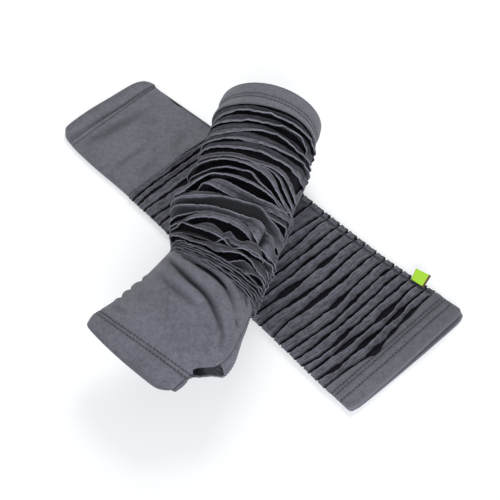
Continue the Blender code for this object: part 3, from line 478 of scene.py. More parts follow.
@dataclass(frozen=True)
class Mouth:
    """How a rim bows out between its two ends and is rounded at them."""

    bow: float
    seam_corner: float
    fold_corner: float
    under: float
    depth: float
    reach: float
    most: float = 0.98            # keeps the rounding's root real
    skew: float = 0.9

    def shift(self, to_rim: Array, across: Array, underneath: Array) -> Array:
        """How far the rim's points move outwards along the tube.

        Args:
            to_rim: how far they lie from the rim.
            across: from 1 at the seam corner to -1 at the fold corner.
            underneath: 1 on the layer below.

        Returns:
            The move in millimetres.
        """
        fade = within(1.0 - to_rim / self.depth)
        turn = within((np.abs(across) - 1.0 + self.reach) / self.reach)
        rounding = 1.0 - np.sqrt(1.0 - turn**2 * self.most)
        corner = np.where(across > 0, self.seam_corner, self.fold_corner) * rounding
        below = self.under * (1.0 + self.skew * across)
        return fade * (self.bow * (1.0 - across**2) + below * underneath - corner)


THUMB_BASE = Bulge(along=245.5, angle=322.0, before=28.0, after=4.2, above=36.0, below=48.0, size=13.5)
WORN_KNUCKLES = Mouth(bow=2.0, seam_corner=5.8, fold_corner=3.5, under=-6.0, depth=15.0, reach=0.18)
FLAT_KNUCKLES = Mouth(bow=2.2, seam_corner=6.5, fold_corner=2.0, under=0.0, depth=16.0, reach=0.32)
FLAT_ELBOW = Mouth(bow=0.9, seam_corner=5.2, fold_corner=2.8, under=1.5, depth=14.0, reach=0.18)


@dataclass(frozen=True)
class ThumbOpening:
    """A gap in the side seam, opened by pulling its two edges apart."""

    start: float
    end: float
    upward: float
    downward: float
    upper_reach: float
    lower_reach: float
    upper_power: float = 0.8
    lower_power: float = 0.65

    def turned(self, along: Array, angle: Array) -> Array:
        """Angles round the tube once the two edges of the gap are pulled apart."""
        part = within((along - self.start) / (self.end - self.start))
        # 9.48 and 6.75 bring each edge's pull to 1 where it is widest
        upper = (9.48 * part**3 * (1.0 - part)) ** self.upper_power
        lower = (6.75 * part**2 * (1.0 - part)) ** self.lower_power
        from_above = within(1.0 - angle / self.upper_reach)
        from_below = within(1.0 - (360.0 - angle) / self.lower_reach)
        return angle + self.upward * upper * from_above - self.downward * lower * from_below


WORN_THUMB = ThumbOpening(start=233.0, end=253.5, upward=14.0, downward=52.0,
                          upper_reach=60.0, lower_reach=90.0)
FLAT_THUMB = ThumbOpening(start=28.0, end=52.0, upward=2.6, downward=7.0,
                          upper_reach=14.0, lower_reach=30.0)


@dataclass(frozen=True)
class Fold:
    """A soft trough in plain cloth, with the cloth pushed up beside it."""

    path: tuple
    depth: float
    width: float
    bank: float = 0.45
    bank_at: float = 1.9          # in widths from the bottom
    taper: float = 2.5
    steps: int = 9

    def depth_at(self, along: Array, angle: Array, round_mm: float) -> Array:
        """How deep the cloth lies at a place, less than nothing on the banks.

        Args:
            along: places along the tube.
            angle: and round it.
            round_mm: millimetres round the tube for each degree.

        Returns:
            Depths, fading out towards the trough's two ends.
        """
        near = np.full(np.broadcast(along, angle).shape, np.inf)
        strength = np.zeros(near.shape)
        path = np.array(self.path, dtype=float)
        for number, (start, stop) in enumerate(zip(path, path[1:])):
            for t in np.linspace(0.0, 1.0, self.steps):
                place = start + t * (stop - start)
                through = (number + t) / (len(path) - 1)
                gap = np.hypot(along - place[0], turned_from(angle, place[1]) * round_mm)
                strength = np.where(gap < near, 1.0 - abs(2 * through - 1) ** self.taper, strength)
                near = np.minimum(near, gap)
        bank = hump(near - self.bank_at * self.width, self.width)
        return self.depth * strength * (hump(near, self.width) - self.bank * bank)


WORN_FOLDS = (
    Fold(((187, 128), (187.5, 112), (188, 98), (188, 84), (188.5, 70), (190, 58), (192.5, 47),
          (196, 37), (201, 28)), depth=3.8, width=2.2),
    Fold(((192, 152), (194, 133), (196, 116), (198, 103), (199.5, 91), (200.5, 77), (202, 66),
          (205, 56), (209, 44), (213, 34), (218, 24)), depth=5.0, width=2.2),
    Fold(((204, 150), (206, 128), (208.5, 106), (209, 92), (210, 80), (212, 66)), depth=1.8, width=3.0),
    Fold(((184, 30), (187, 23), (190, 18)), depth=2.2, width=1.6),
    Fold(((199, 29), (203, 22), (205, 14)), depth=2.0, width=1.8),
    Fold(((214, 30), (220, 25), (224, 18)), depth=1.2, width=2.2),
    Fold(((226, 40), (231, 30), (234, 18)), depth=0.8, width=2.4),
    Fold(((244, 140), (246, 126), (245, 110)), depth=1.2, width=3.0),
    Fold(((214, 175), (215, 158), (213, 140)), depth=1.2, width=2.0),
    Fold(((225, 175), (226, 160), (224, 142)), depth=1.1, width=2.0),
    Fold(((236, 176), (237, 160), (235, 138)), depth=1.2, width=2.2),
    Fold(((196, 200), (203, 262), (198, 330)), depth=2.2, width=3.4),
    Fold(((209, 205), (216, 270), (212, 335)), depth=1.8, width=3.6),
)
FLAT_FOLDS = (
    Fold(((27, 147), (29, 128), (30, 108), (30, 90), (31, 70), (33, 52), (37, 38)),
         depth=1.5, width=5.5, bank=0.15),
    Fold(((69, 142), (67, 126), (66, 110), (66, 95), (68, 80)), depth=1.0, width=3.8, bank=0.5),
    Fold(((42, 62), (46, 48), (52, 34)), depth=0.7, width=6.0, bank=0.15),
    Fold(((84, 66), (80, 48), (76, 32)), depth=0.8, width=6.0, bank=0.25),
    Fold(((88, 128), (86, 108), (87, 90)), depth=0.6, width=5.0, bank=0.25),
)


# --- the two tubes ------------------------------------------------------------------

class TubeTable:
    """What both tubes share: their table and how points are read from it."""

    places: tuple = ()
    seam_level: float = 0.0
    probe: float = 0.5            # how far out a second point tells which way is out

    def __init__(self) -> None:
        """Read the table."""
        self.rows = columns(self.places)

    def track(self, along: Array) -> tuple[Array, ...]:
        """The table's other columns at places along the tube."""
        return tuple(np.moveaxis(smooth_track(self.rows[:, 0], self.rows[:, 1:], along), -1, 0))

    def point(self, along: Array, angle: Array, lift: Array) -> Array:
        """Points on the tube, moved out from it by lift.

        Args:
            along: how far from the tube's first rim.
            angle: how far round from the side seam.
            lift: how far out from the cloth under the strips.

        Returns:
            Points in the tables' millimetres.
        """
        return self.place(*np.broadcast_arrays(*(np.asarray(item, float) for item in (along, angle, lift))))

    def surface(self, along: Array, angle: Array, lift: Array) -> tuple[Array, Array]:
        """Points on the tube, and which way is out from it at each."""
        points = self.point(along, angle, lift)
        return points, self.point(along, angle, lift + self.probe) - points


class WornTube(TubeTable):
    """The tube of the worn one, bent and turned as the arm held it."""

    places = WORN_RINGS
    seam_level = 2.8

    def place(self, along: Array, angle: Array, lift: Array) -> Array:
        """Points on oval rings that turn and tilt with the arm."""
        across, below = np.cos(np.radians(angle)), within(-np.sin(np.radians(angle)))
        along = along + WORN_KNUCKLES.shift(WORN_LENGTH - along, across, below)
        x, y, z, width, height, turn, slope, seam = self.track(along)
        turn, slope, phi = np.radians(turn), np.radians(slope), np.radians(angle + seam)
        level = np.zeros_like(turn)
        across = np.stack([np.cos(turn), -np.sin(turn), level], -1)
        forward = np.stack([np.sin(turn), np.cos(turn), level], -1)
        up = np.cos(slope)[..., None] * UP - np.sin(slope)[..., None] * forward
        out_u, out_v = np.cos(phi) / width, np.sin(phi) / height
        size = np.hypot(out_u, out_v)
        u = width * np.cos(phi) + lift * out_u / size + THUMB_BASE.height(along, angle)
        v = height * np.sin(phi) + lift * out_v / size
        return np.stack([x, y, z], -1) + u[..., None] * across + v[..., None] * up

    def free(self, along: Array, angle: Array) -> Array:
        """How freely strips stand off the tube: fully, all round."""
        return np.ones(np.broadcast(along, angle).shape)

    def facing(self, angle: Array) -> Array:
        """How much the cloth at an angle faces up."""
        return within(np.sin(np.radians(angle)))

    def round_mm(self, angle: Array) -> Array:
        """How far round the tube an angle is, in millimetres."""
        return np.asarray(angle, float) * math.radians(1.0) * WORN_RADIUS


class FlatTube(TubeTable):
    """The tube of the flat one: two layers lying on each other, flat underneath."""

    places = FLAT_WIDTHS
    seam_level = 1.2
    heading = math.radians(FLAT_HEADING)
    axis = np.array([math.cos(heading), math.sin(heading), 0.0])
    side = np.array([-math.sin(heading), math.cos(heading), 0.0])
    mouth_middle = 0.2            # how far a mouth gapes half-way across, and how much more beyond
    mouth_skew = 1.1
    coming_free = 0.75            # how soon round an edge the strips come free

    def section(self, along: Array, angle: Array) -> tuple[Array, Array, Array, Array]:
        """Across and up, with the outward direction, at a place round the tube."""
        fold, edge, seam_in, gape = self.track(along)
        bend = FLAT_THICKNESS / 2
        quarter = math.pi * bend / 2
        run = edge - fold - 2 * bend
        top_end = quarter + run
        under_start = top_end + 2 * quarter
        under_end = under_start + run
        whole = under_end + quarter
        arc = np.select(
            [angle <= TOP_END, angle <= BEND_END, angle <= UNDER_END],
            [seam_in + (top_end - seam_in) * angle / TOP_END,
             top_end + 2 * quarter * (angle - TOP_END) / (BEND_END - TOP_END),
             under_start + run * (angle - BEND_END) / (UNDER_END - BEND_END)],
            under_end + (whole + seam_in - under_end) * (angle - UNDER_END) / (360.0 - UNDER_END))
        arc = np.where(arc > whole, arc - whole, arc)
        before = [arc < quarter, arc < top_end, arc < under_start, arc < under_end]
        half_turn = np.full(arc.shape, math.pi)
        swing = np.select(before, [arc / bend, half_turn / 2, math.pi / 2 + (arc - top_end) / bend,
                                   1.5 * half_turn], 1.5 * math.pi + (arc - under_end) / bend)
        base = np.select(before, [edge - bend, edge - bend - (arc - quarter), fold + bend,
                                  fold + bend + (arc - under_start)], edge - bend)
        out_u, out_v = np.cos(swing), np.sin(swing)
        u = base + bend * out_u
        middle = (u - (edge + fold) / 2) / ((edge - fold) / 2)
        share = np.clip(self.mouth_middle + self.mouth_skew * middle, 0, 2)
        rise = gape * within(1 - middle**2) * share * within(out_v)
        return u, bend + bend * out_v + rise, out_u, out_v

    def place(self, along: Array, angle: Array, lift: Array) -> Array:
        """Points on the flat loop, never below the table."""
        u, v, out_u, out_v = self.section(along, angle)
        u = u + lift * out_u
        v = np.maximum(v + lift * out_v, 0.0)
        fold, edge, _, _ = self.track(along)
        across = np.clip((2 * u - edge - fold) / (edge - fold), -1.0, 1.0)
        below = within(-out_v)
        along = (along - FLAT_KNUCKLES.shift(along, across, below)
                 + FLAT_ELBOW.shift(FLAT_LENGTH - along, across, below))
        return FLAT_START + along[..., None] * self.axis + u[..., None] * self.side + v[..., None] * UP

    def free(self, along: Array, angle: Array) -> Array:
        """How freely strips stand off the tube: on top and round both edges only."""
        out_v = self.section(*np.broadcast_arrays(np.asarray(along, float), angle))[3]
        return within(self.coming_free + out_v)

    def facing(self, angle: Array) -> Array:
        """How much the cloth at an angle faces up."""
        return np.where(np.asarray(angle) <= TOP_END, 1.0, 0.0)

    def round_mm(self, angle: Array) -> Array:
        """How far round the tube an angle is, in millimetres."""
        return np.interp(angle, (0, TOP_END, BEND_END, UNDER_END, 360),
                         (0, TOP_MM, TOP_MM + BEND_MM, 2 * TOP_MM + BEND_MM, ROUND_MM))


Tube = WornTube | FlatTube


# --- cloth as meshes ----------------------------------------------------------------

ROUNDED = 0.9                 # how far a raw edge swells out, as a share of half its wall


def surface_normals(grid: Array, outward: Array, closed: bool) -> Array:
    """The unit normals of a grid of points, all on the side that is outward.

    Args:
        grid: rows by columns of points.
        outward: a rough outward direction for each of them.
        closed: whether the last column joins the first.

    Returns:
        A normal for each point.
    """
    if closed:
        wide = np.concatenate([grid[:, -1:], grid, grid[:, :1]], axis=1)
        sideways = (wide[:, 2:] - wide[:, :-2]) / 2
    else:
        sideways = np.gradient(grid, axis=1)
    normal = unit(np.cross(np.gradient(grid, axis=0), sideways))
    return normal * np.sign(np.sum(normal * outward))


def there_and_back(values: Array) -> Array:
    """Values for the rows of a wall, from values for the rows of its surface."""
    return np.concatenate([values[:1], values, values[-1:], values[::-1]])


@dataclass
class Cloth:
    """The points, faces and surface values of one piece while it is being made."""

    points: list = field(default_factory=list)
    faces: list = field(default_factory=list)
    maps: list = field(default_factory=list)
    edges: list = field(default_factory=list)
    shade_and_back_values: list = field(default_factory=list)
    count: int = 0

    def add(self, grid: Array, cut: Array, edge: Array, sunk: Array,
            round_rows: bool = False, closed: bool = True) -> Array:
        """Add a grid of points with faces between them.

        Args:
            grid: rows by columns of points.
            cut: places on the flat cloth, in millimetres, with one column more if it is closed.
            edge: 1 where the cloth's raw edge is, paler and with a painted highlight, for each row and
                column.
            sunk: how much shade is painted on, from 0 to 1, in row grooves, hollows and undersides; on a
                label, where its back colour shows.
            round_rows: whether the last row joins the first.
            closed: whether the last column joins the first.

        Returns:
            The points' numbers, rows by columns.
        """
        rows, across = grid.shape[:2]
        number = self.count + np.arange(rows * across).reshape(rows, across)
        i, j = np.meshgrid(np.arange(rows if round_rows else rows - 1),
                           np.arange(across if closed else across - 1), indexing="ij")
        i2, j2 = (i + 1) % rows, (j + 1) % across
        self.points.append(grid.reshape(-1, 3))
        self.faces.append(np.stack([number[i, j], number[i, j2], number[i2, j2], number[i2, j]],
                                   -1).reshape(-1, 4))
        self.maps.append(np.stack([cut[i, j], cut[i, j + 1], cut[i2, j + 1], cut[i2, j]],
                                  -2).reshape(-1, 2))
        self.edges.append(np.broadcast_to(edge, (rows, across)).ravel())
        self.shade_and_back_values.append(np.broadcast_to(sunk, (rows, across)).ravel())
        self.count += rows * across
        return number

    def close_end(self, loop: Array, cut: Array) -> None:
        """Close an open end of a wall whose loop runs out along one side and back along the other."""
        low = np.arange(0, len(loop) // 2 - 1)
        high = len(loop) - 1 - low
        self.faces.append(np.stack([loop[low], loop[low + 1], loop[high - 1], loop[high]], -1))
        self.maps.append(np.stack([cut[low], cut[low + 1], cut[high - 1], cut[high]], -2).reshape(-1, 2))

    def wall(self, middle: Array, outward: Array, thick: Array, cut: Array, edge: Array,
             sunk: Array, closed: bool) -> None:
        """Add a surface with a thickness and rounded ends.

        Args:
            middle: the middle surface, rows by columns.
            outward: a rough outward direction for each point.
            thick: the wall at each point.
            cut: places on the flat cloth for the surface.
            edge: 1 where the raw edge is, paler and with a painted highlight, for the rows out and back.
            sunk: how much shade is painted on, or where a label's back shows, for the rows out and back.
            closed: whether the last column joins the first.
        """
        half = np.broadcast_to(thick, middle.shape[:2])[..., None] / 2
        lift = half * surface_normals(middle, outward, closed)
        first = middle[0] - unit(middle[1] - middle[0]) * half[0] * ROUNDED
        last = middle[-1] + unit(middle[-1] - middle[-2]) * half[-1] * ROUNDED
        rows = np.concatenate([first[None], middle + lift, last[None], (middle - lift)[::-1]])
        cut = there_and_back(cut)
        number = self.add(rows, cut, edge, sunk, round_rows=True, closed=closed)
        if not closed:
            self.close_end(number[:, 0], cut[:, 0])
            self.close_end(number[:, -1][::-1], cut[:, -1][::-1])

    def make(self, name: str, finish: bpy.types.Material) -> bpy.types.Object:
        """Make the object, linked to the scene, with its faces turned outwards."""
        points = (np.concatenate(self.points) - CENTRE) * MM
        faces = np.concatenate(self.faces)
        maps = np.concatenate(self.maps).reshape(-1, 4, 2) * MM
        a, b, c, d = (points[faces[:, k]] for k in range(4))
        halves = (a, np.cross(b, c)), (a, np.cross(c, d))
        if sum(np.einsum("ij,ij->i", *half).sum() for half in halves) < 0:
            faces, maps = faces[:, ::-1], maps[:, ::-1]
        mesh = bpy.data.meshes.new(name)
        mesh.from_pydata(points.tolist(), [], faces.tolist())
        mesh.uv_layers.new(name="cut").data.foreach_set("uv", maps.ravel())
        # two values for each point: how pale a raw edge is, with its painted highlight, and how much shade
        # is painted on (on a label, where its back shows)
        for label, values in (("raw_edge", self.edges), ("sunk", self.shade_and_back_values)):
            attribute = mesh.attributes.new(label, "FLOAT", "POINT")
            attribute.data.foreach_set("value", np.concatenate(values).astype(float))
        mesh.shade_smooth()
        mesh.materials.append(finish)
        piece = bpy.data.objects.new(name, mesh)
        bpy.context.scene.collection.objects.link(piece)
        return piece


def cut_places(tube: Tube, along: Array, angles: Array) -> Array:
    """Places on the flat cloth for a closed surface, with one column more."""
    along = np.concatenate([along, along[:, :1]], axis=1)
    return np.stack([np.broadcast_to(tube.round_mm(np.append(angles, 360.0)), along.shape), along], -1)


# --- finishes -----------------------------------------------------------------------

class Number:
    """A number socket that adds Math nodes when it is used in a sum."""

    def __init__(self, loom: "Loom", socket: bpy.types.NodeSocket) -> None:
        """Wrap a socket of a loom's tree."""
        self.loom = loom
        self.socket = socket

    def __add__(self, other: "Number | float") -> "Number":
        """Sum."""
        return self.loom.sum_of("ADD", self, other)

    def __sub__(self, other: "Number | float") -> "Number":
        """Difference."""
        return self.loom.sum_of("SUBTRACT", self, other)

    def __rsub__(self, other: float) -> "Number":
        """Difference, reflected."""
        return self.loom.sum_of("SUBTRACT", other, self)

    def __mul__(self, other: "Number | float") -> "Number":
        """Product."""
        return self.loom.sum_of("MULTIPLY", self, other)

    def __truediv__(self, other: "Number | float") -> "Number":
        """Quotient."""
        return self.loom.sum_of("DIVIDE", self, other)

    def __pow__(self, other: "Number | float") -> "Number":
        """Power."""
        return self.loom.sum_of("POWER", self, other)

    def size(self) -> "Number":
        """Size without its sign."""
        return self.loom.sum_of("ABSOLUTE", self)

    def wave(self) -> "Number":
        """Sine, raised to run from 0 to 1."""
        return self.loom.sum_of("SINE", self) * 0.5 + 0.5

    def fraction(self) -> "Number":
        """What is left after the whole number."""
        return self.loom.sum_of("FRACT", self)


class Loom:
    """Makes one material and adds nodes to it."""

    def __init__(self, name: str) -> None:
        """Start a material with its Principled shader."""
        self.material = bpy.data.materials.new(name)
        self.material.use_nodes = True
        self.tree = self.material.node_tree
        self.shader = self.tree.nodes["Principled BSDF"]

    def node(self, kind: str, settings: dict | None = None, inputs: dict | None = None) -> bpy.types.Node:
        """Add a node.

        Args:
            kind: the node's type.
            settings: its own settings, set first.
            inputs: values or links of its sockets, by name or number.

        Returns:
            The node.
        """
        node = self.tree.nodes.new(kind)
        for label, value in (settings or {}).items():
            setattr(node, label, value)
        self.feed(node, inputs or {})
        return node

    def feed(self, node: bpy.types.Node, inputs: dict) -> None:
        """Link a node's sockets to values, or set them there."""
        for label, value in inputs.items():
            value = value.socket if isinstance(value, Number) else value
            if isinstance(value, bpy.types.NodeSocket):
                self.tree.links.new(value, node.inputs[label])
            else:
                node.inputs[label].default_value = value

    def sum_of(self, operation: str, *values: "Number | float") -> Number:
        """Add a Math node for one operation on numbers."""
        node = self.node("ShaderNodeMath", {"operation": operation}, dict(enumerate(values)))
        return Number(self, node.outputs[0])

    def noise(self, scale: float, detail: float, roughness: float = 0.5, place: object = None) -> Number:
        """Even noise from 0 to 1, through the object or over a place of two numbers.

        Args:
            scale: how many grains to the metre.
            detail: how many finer octaves.
            roughness: how strong these are.
            place: the place's socket, where it isn't the point in the object.

        Returns:
            The noise.
        """
        flat = place is not None
        place = place or self.node("ShaderNodeTexCoord").outputs["Object"]
        node = self.node("ShaderNodeTexNoise", {"noise_dimensions": "2D" if flat else "3D"},
                         {"Vector": place, "Scale": scale, "Detail": detail, "Roughness": roughness})
        return Number(self, node.outputs["Fac"])

    def streaks(self, around: Number, along: Number, long: float = 130.0, fine: float = 620.0) -> Number:
        """Uneven lines that run round the tube, from 0 to 1."""
        place = self.node("ShaderNodeCombineXYZ", None, {"X": around * long, "Y": along * fine})
        return self.noise(1.0, 2.0, 0.6, place.outputs["Vector"])

    def measure(self, name: str) -> Number:
        """A value that the mesh carries."""
        return Number(self, self.node("ShaderNodeAttribute", {"attribute_name": name}).outputs["Fac"])

    def cut_place(self) -> tuple[Number, Number]:
        """Round the tube and along it, in metres on the flat cloth."""
        place = self.node("ShaderNodeUVMap", {"uv_map": "cut"})
        parts = self.node("ShaderNodeSeparateXYZ", None, {"Vector": place.outputs["UV"]})
        return Number(self, parts.outputs["X"]), Number(self, parts.outputs["Y"])

    def blend(self, share: Number, one: object, two: object) -> bpy.types.NodeSocket:
        """Mix two colours, or sockets of colour, with a share of the second."""
        node = self.node("ShaderNodeMix", {"data_type": "RGBA", "clamp_factor": True},
                         {0: share, 6: one, 7: two})
        return node.outputs[2]

    def relief(self, height: Number, depth: float, strength: float) -> bpy.types.NodeSocket:
        """The normal of a surface that is raised by a height from 0 to 1, times a depth in metres."""
        node = self.node("ShaderNodeBump", None,
                         {"Height": height, "Distance": depth, "Strength": strength})
        return node.outputs["Normal"]

    def finish(self, inputs: dict) -> bpy.types.Material:
        """Feed the shader's own sockets and hand over the material."""
        self.feed(self.shader, inputs)
        return self.material


def rgba(colour: tuple, shade: float = 1.0) -> tuple:
    """A colour with its alpha, made lighter or darker."""
    return tuple(part * shade for part in colour) + (1.0,)


@dataclass(frozen=True)
class Jersey:
    """Charcoal cotton jersey: knit wales, a heathered grain, paler raw edges that carry a painted
    highlight, and painted shade where the mesh marks it.
    """

    name: str
    colour: tuple
    heather: float
    edge_light: float
    sheen: float
    streaky: float = 0.0
    painted_shade: float = 0.14            # the share of its colour that is left where shade is painted on
    wale: float = 0.00085
    course: float = 0.00068
    nap: float = 0.00022
    fuzz: float = 1500.0          # grains to the metre, from the finest to the broadest
    grain: float = 820.0
    tuft: float = 260.0
    patch: float = 42.0
    grain_share: float = 1.6      # how much they count in its tone
    patch_share: float = 0.8
    pale: float = 0.35            # how pale a raw edge is at least, partly a painted highlight, and how much its tufts add
    pale_tuft: float = 0.9

    def weave(self) -> bpy.types.Material:
        """Make the material."""
        loom = Loom(self.name)
        around, along = loom.cut_place()
        column = (around / self.wale).fraction() - 0.5
        loops = ((along / self.course + column.size() * 1.1) * (2 * math.pi)).wave()
        rib = 1.0 - (column.size() * 2.0) ** 2.0
        fuzz, grain = loom.noise(self.fuzz, 2.0), loom.noise(self.grain, 2.0, 0.6)
        tuft, patch = loom.noise(self.tuft, 2.0), loom.noise(self.patch, 3.0)
        tone = (grain - 0.5) * self.grain_share + (tuft - 0.5) + (patch - 0.5) * self.patch_share + 0.5
        if self.streaky:
            tone = tone + (loom.streaks(around, along) - 0.5) * self.streaky
        body = loom.blend(tone, rgba(self.colour, 1.0 - self.heather),
                          rgba(self.colour, 1.0 + self.heather))
        # raw edges are paler and carry a painted highlight, and painted shade takes the colour down towards
        # a small share of itself
        pale_and_highlight = loom.measure("raw_edge") * (tuft * self.pale_tuft + self.pale)
        lit = loom.blend(pale_and_highlight, body, rgba(self.colour, 1.0 + self.edge_light))
        return loom.finish({
            "Base Color": loom.blend(loom.measure("sunk"), lit, rgba(self.colour, self.painted_shade)),
            "Roughness": (grain - 0.5) * 0.16 + 0.86,
            "Specular IOR Level": 0.12, "Sheen Weight": self.sheen, "Sheen Roughness": 0.55,
            "Normal": loom.relief(loops * rib * 0.45 + fuzz * 0.35 + grain * 0.5, self.nap, 0.8)})


@dataclass(frozen=True)
class Thread:
    """Twisted polyester sewing thread."""

    name: str
    colour: tuple
    twists: float = 9000.0

    def weave(self) -> bpy.types.Material:
        """Make the material."""
        loom = Loom(self.name)
        around, along = loom.cut_place()
        twist = (around * self.twists + along * self.twists).wave()
        grain = loom.noise(900.0, 1.0)
        tone = twist * 0.5 + grain * 0.5
        return loom.finish({
            "Base Color": loom.blend(tone, rgba(self.colour, 0.75), rgba(self.colour, 1.25)),
            "Roughness": grain * 0.2 + 0.55,
            "Normal": loom.relief(twist, 0.00008, 0.6)})


@dataclass(frozen=True)
class WovenLabel:
    """Lime satin ribbon, woven fine, darker on its back."""

    name: str
    colour: tuple
    back: tuple
    yarn: float = 0.00032

    def weave(self) -> bpy.types.Material:
        """Make the material."""
        loom = Loom(self.name)
        warp, weft = (loom.sum_of("SINE", place * (2 * math.pi / self.yarn)) for place in loom.cut_place())
        checks = warp * weft * 0.5 + 0.5
        grain = loom.noise(600.0, 2.0)
        face = loom.blend(checks * 0.4 + grain * 0.6, rgba(self.colour, 0.86), rgba(self.colour, 1.14))
        return loom.finish({
            "Base Color": loom.blend(loom.measure("sunk"), face, rgba(self.back)),
            "Roughness": grain * 0.25 + 0.5,
            "Normal": loom.relief(checks, 0.00006, 0.5)})


@dataclass(frozen=True)
class Paper:
    """Plain pale studio paper under the pair, lit from below as well."""

    name: str
    colour: tuple
    glow: float

    def weave(self) -> bpy.types.Material:
        """Make the material."""
        loom = Loom(self.name)
        tone = loom.noise(3.0, 2.0)
        return loom.finish({
            "Base Color": loom.blend(tone, rgba(self.colour, 0.995), rgba(self.colour, 1.005)),
            "Emission Color": rgba((1.0, 1.0, 1.0)), "Emission Strength": self.glow,
            "Roughness": 0.9, "Specular IOR Level": 0.1})


@dataclass(frozen=True)
class Wardrobe:
    """Every finish of the pair, woven once."""

    jersey: bpy.types.Material
    slashed: bpy.types.Material
    backing: bpy.types.Material
    thread: bpy.types.Material
    label: bpy.types.Material

    @staticmethod
    def weave() -> "Wardrobe":
        """Make all the finishes."""
        return Wardrobe(
            # the strips' copy is a little darker, as painted shade, with a far stronger painted highlight
            # on its rims; the backing is darker than the jersey and near black as painted shade for the
            # slits
            jersey=Jersey("charcoal_jersey", (0.143, 0.142, 0.164), 0.30, 0.35, 0.20).weave(),
            slashed=Jersey("charcoal_strips", (0.132, 0.131, 0.155), 0.46, 1.00, 0.05,
                           streaky=1.8).weave(),
            backing=Jersey("charcoal_backing", (0.0095, 0.0088, 0.0122), 0.25, 0.0, 0.0).weave(),
            thread=Thread("grey_thread", (0.020, 0.019, 0.021)).weave(),
            label=WovenLabel("lime_label", (0.42, 0.74, 0.030), (0.11, 0.045, 0.020)).weave())


class Slot(Enum):
    """Names of material slots; the stitching takes one but does not use it."""

    JERSEY = "jersey"
    SLASHED = "slashed_jersey"
    LABEL = "woven_label"


def settle(piece: bpy.types.Object, nodes: Sequence[str] = ()) -> bpy.types.Object:
    """Let a piece ride on the body and stand for its nodes.

    Args:
        piece: the new piece.
        nodes: the frame's nodes that it replaces.

    Returns:
        The same piece.
    """
    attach(piece, "root")
    if nodes:
        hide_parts(*nodes)
    log.info("%s: %d faces", piece.name, len(piece.data.polygons))
    return piece


# --- sewing -------------------------------------------------------------------------

@dataclass
class Stitching:
    """Rows of single stitches that lie in the cloth."""

    length: float = 1.7
    width: float = 0.85
    height: float = 0.42
    pitch: float = 3.0
    cloth: Cloth = field(default_factory=Cloth)

    def row(self, tube: Tube, along: Array, angles: Array, lift: Array) -> None:
        """Sew one row along a line on a tube.

        Args:
            tube: the tube that carries it.
            along: the line's places along the tube.
            angles: and round it.
            lift: the height of the cloth's surface there.
        """
        line, out = tube.surface(along, angles, lift)
        out = unit(out)
        steps = np.linalg.norm(np.diff(line, axis=0), axis=1)
        reach = np.concatenate([[0.0], np.cumsum(steps)])
        count = max(int(reach[-1] / self.pitch), 1)
        middles = (np.arange(count) + 0.5) * reach[-1] / count

        def read(values: Array, at: Array) -> Array:
            """Read points along the line."""
            return np.stack([np.interp(at, reach, values[:, k]) for k in range(3)], -1)

        centre = read(line, middles)
        forward = unit(read(line, middles + 0.5) - read(line, middles - 0.5))
        upward = read(out, middles)
        upward = unit(upward - forward * np.sum(upward * forward, axis=1, keepdims=True))
        for stitch in zip(centre, forward, np.cross(forward, upward), upward):
            self.stitch(*stitch)

    def stitch(self, centre: Array, forward: Array, side: Array, upward: Array) -> None:
        """Add one stitch, a short rounded bead of thread."""
        reach = np.array((-0.5, -0.36, 0.0, 0.36, 0.5)) * self.length
        girth = (0.12, 0.85, 1.0, 0.85, 0.12)
        turns = np.radians((45.0, 135.0, 225.0, 315.0))
        grid = np.array([[centre + forward * r + side * g * self.width / 2 * math.cos(t)
                          + upward * g * self.height / 2 * math.sin(t) for t in turns]
                         for r, g in zip(reach, girth)])
        cut = np.stack(np.meshgrid(reach, np.arange(5) * 0.4, indexing="ij"), -1)
        self.cloth.add(grid, cut, 0.0, 0.0)

    def make(self, name: str, wardrobe: Wardrobe, slot: Slot) -> bpy.types.Object:
        """Make the thread of all the rows."""
        return settle(self.cloth.make(name, wardrobe.thread))


# --- the slashed sleeve -------------------------------------------------------------

class Seed(IntEnum):
    """Where each family of uneven lines starts to count."""

    RAGGED = 0
    LOW = 100
    HIGH = 200
    FINE = 250
    UPPER = 500
    LOWER = 600
    FRAYED = 700
    RUBBED = 900


RAGGED = (7, 12, 19, 31)
FRAYED = (37, 46, 58, 71, 84)
LOOSE_EDGE = (9, 16, 27, 41, 58, 73)
SETTLED_AT = (0, 12, 90, 150, 180, 240, 320, 340, 360)
STRIP_STEPS = (-1.0, -0.90, -0.68, -0.38, -0.12, 0.0, 0.12, 0.35, 0.60, 0.80, 0.93, 1.0)
SEWN_WIDTH = 0.13             # how wide a row's groove is, as a share of half a strip
FRAY = 0.45                   # how strong the finest raggedness is beside the coarse
STRAY = 0.28                  # how far a loose strip's edges stray
LOOSE_FADE = 11.0             # degrees over which a loose strip is worked in
ABOVE_BACKING = 0.1
LOW_CURL, HIGH_CURL = 1.5, 1.6
OVERHANG = 0.45               # how far a low edge is pushed out over the strip before it
LEAN_FROM, LEAN_OVER = 1.0, 3.0
TUCK_WIDTH, TUCK_DEPTH = 2.3, 0.8
TUFT_AT, TUFT_WIDTH = 5.0, 4.5
BUNCH_OVER, BUNCH_RIM_FROM, BUNCH_RIM_OVER = 8.0, 20.0, 6.0
LOW_UNEVEN, LOW_WAVES = 0.7, (2, 3, 5, 8)
HIGH_UNEVEN, HIGH_WAVES = 0.22, (2, 4, 7, 9)
FINE_UNEVEN, FINE_WAVES = 0.12, (13, 19, 27)
LOW_LYING = 3.0               # a low edge below this height is pushed out
TUFT_MEAN, TUFT_VARY, TUFT_TURN = 0.65, 0.35, 7.3
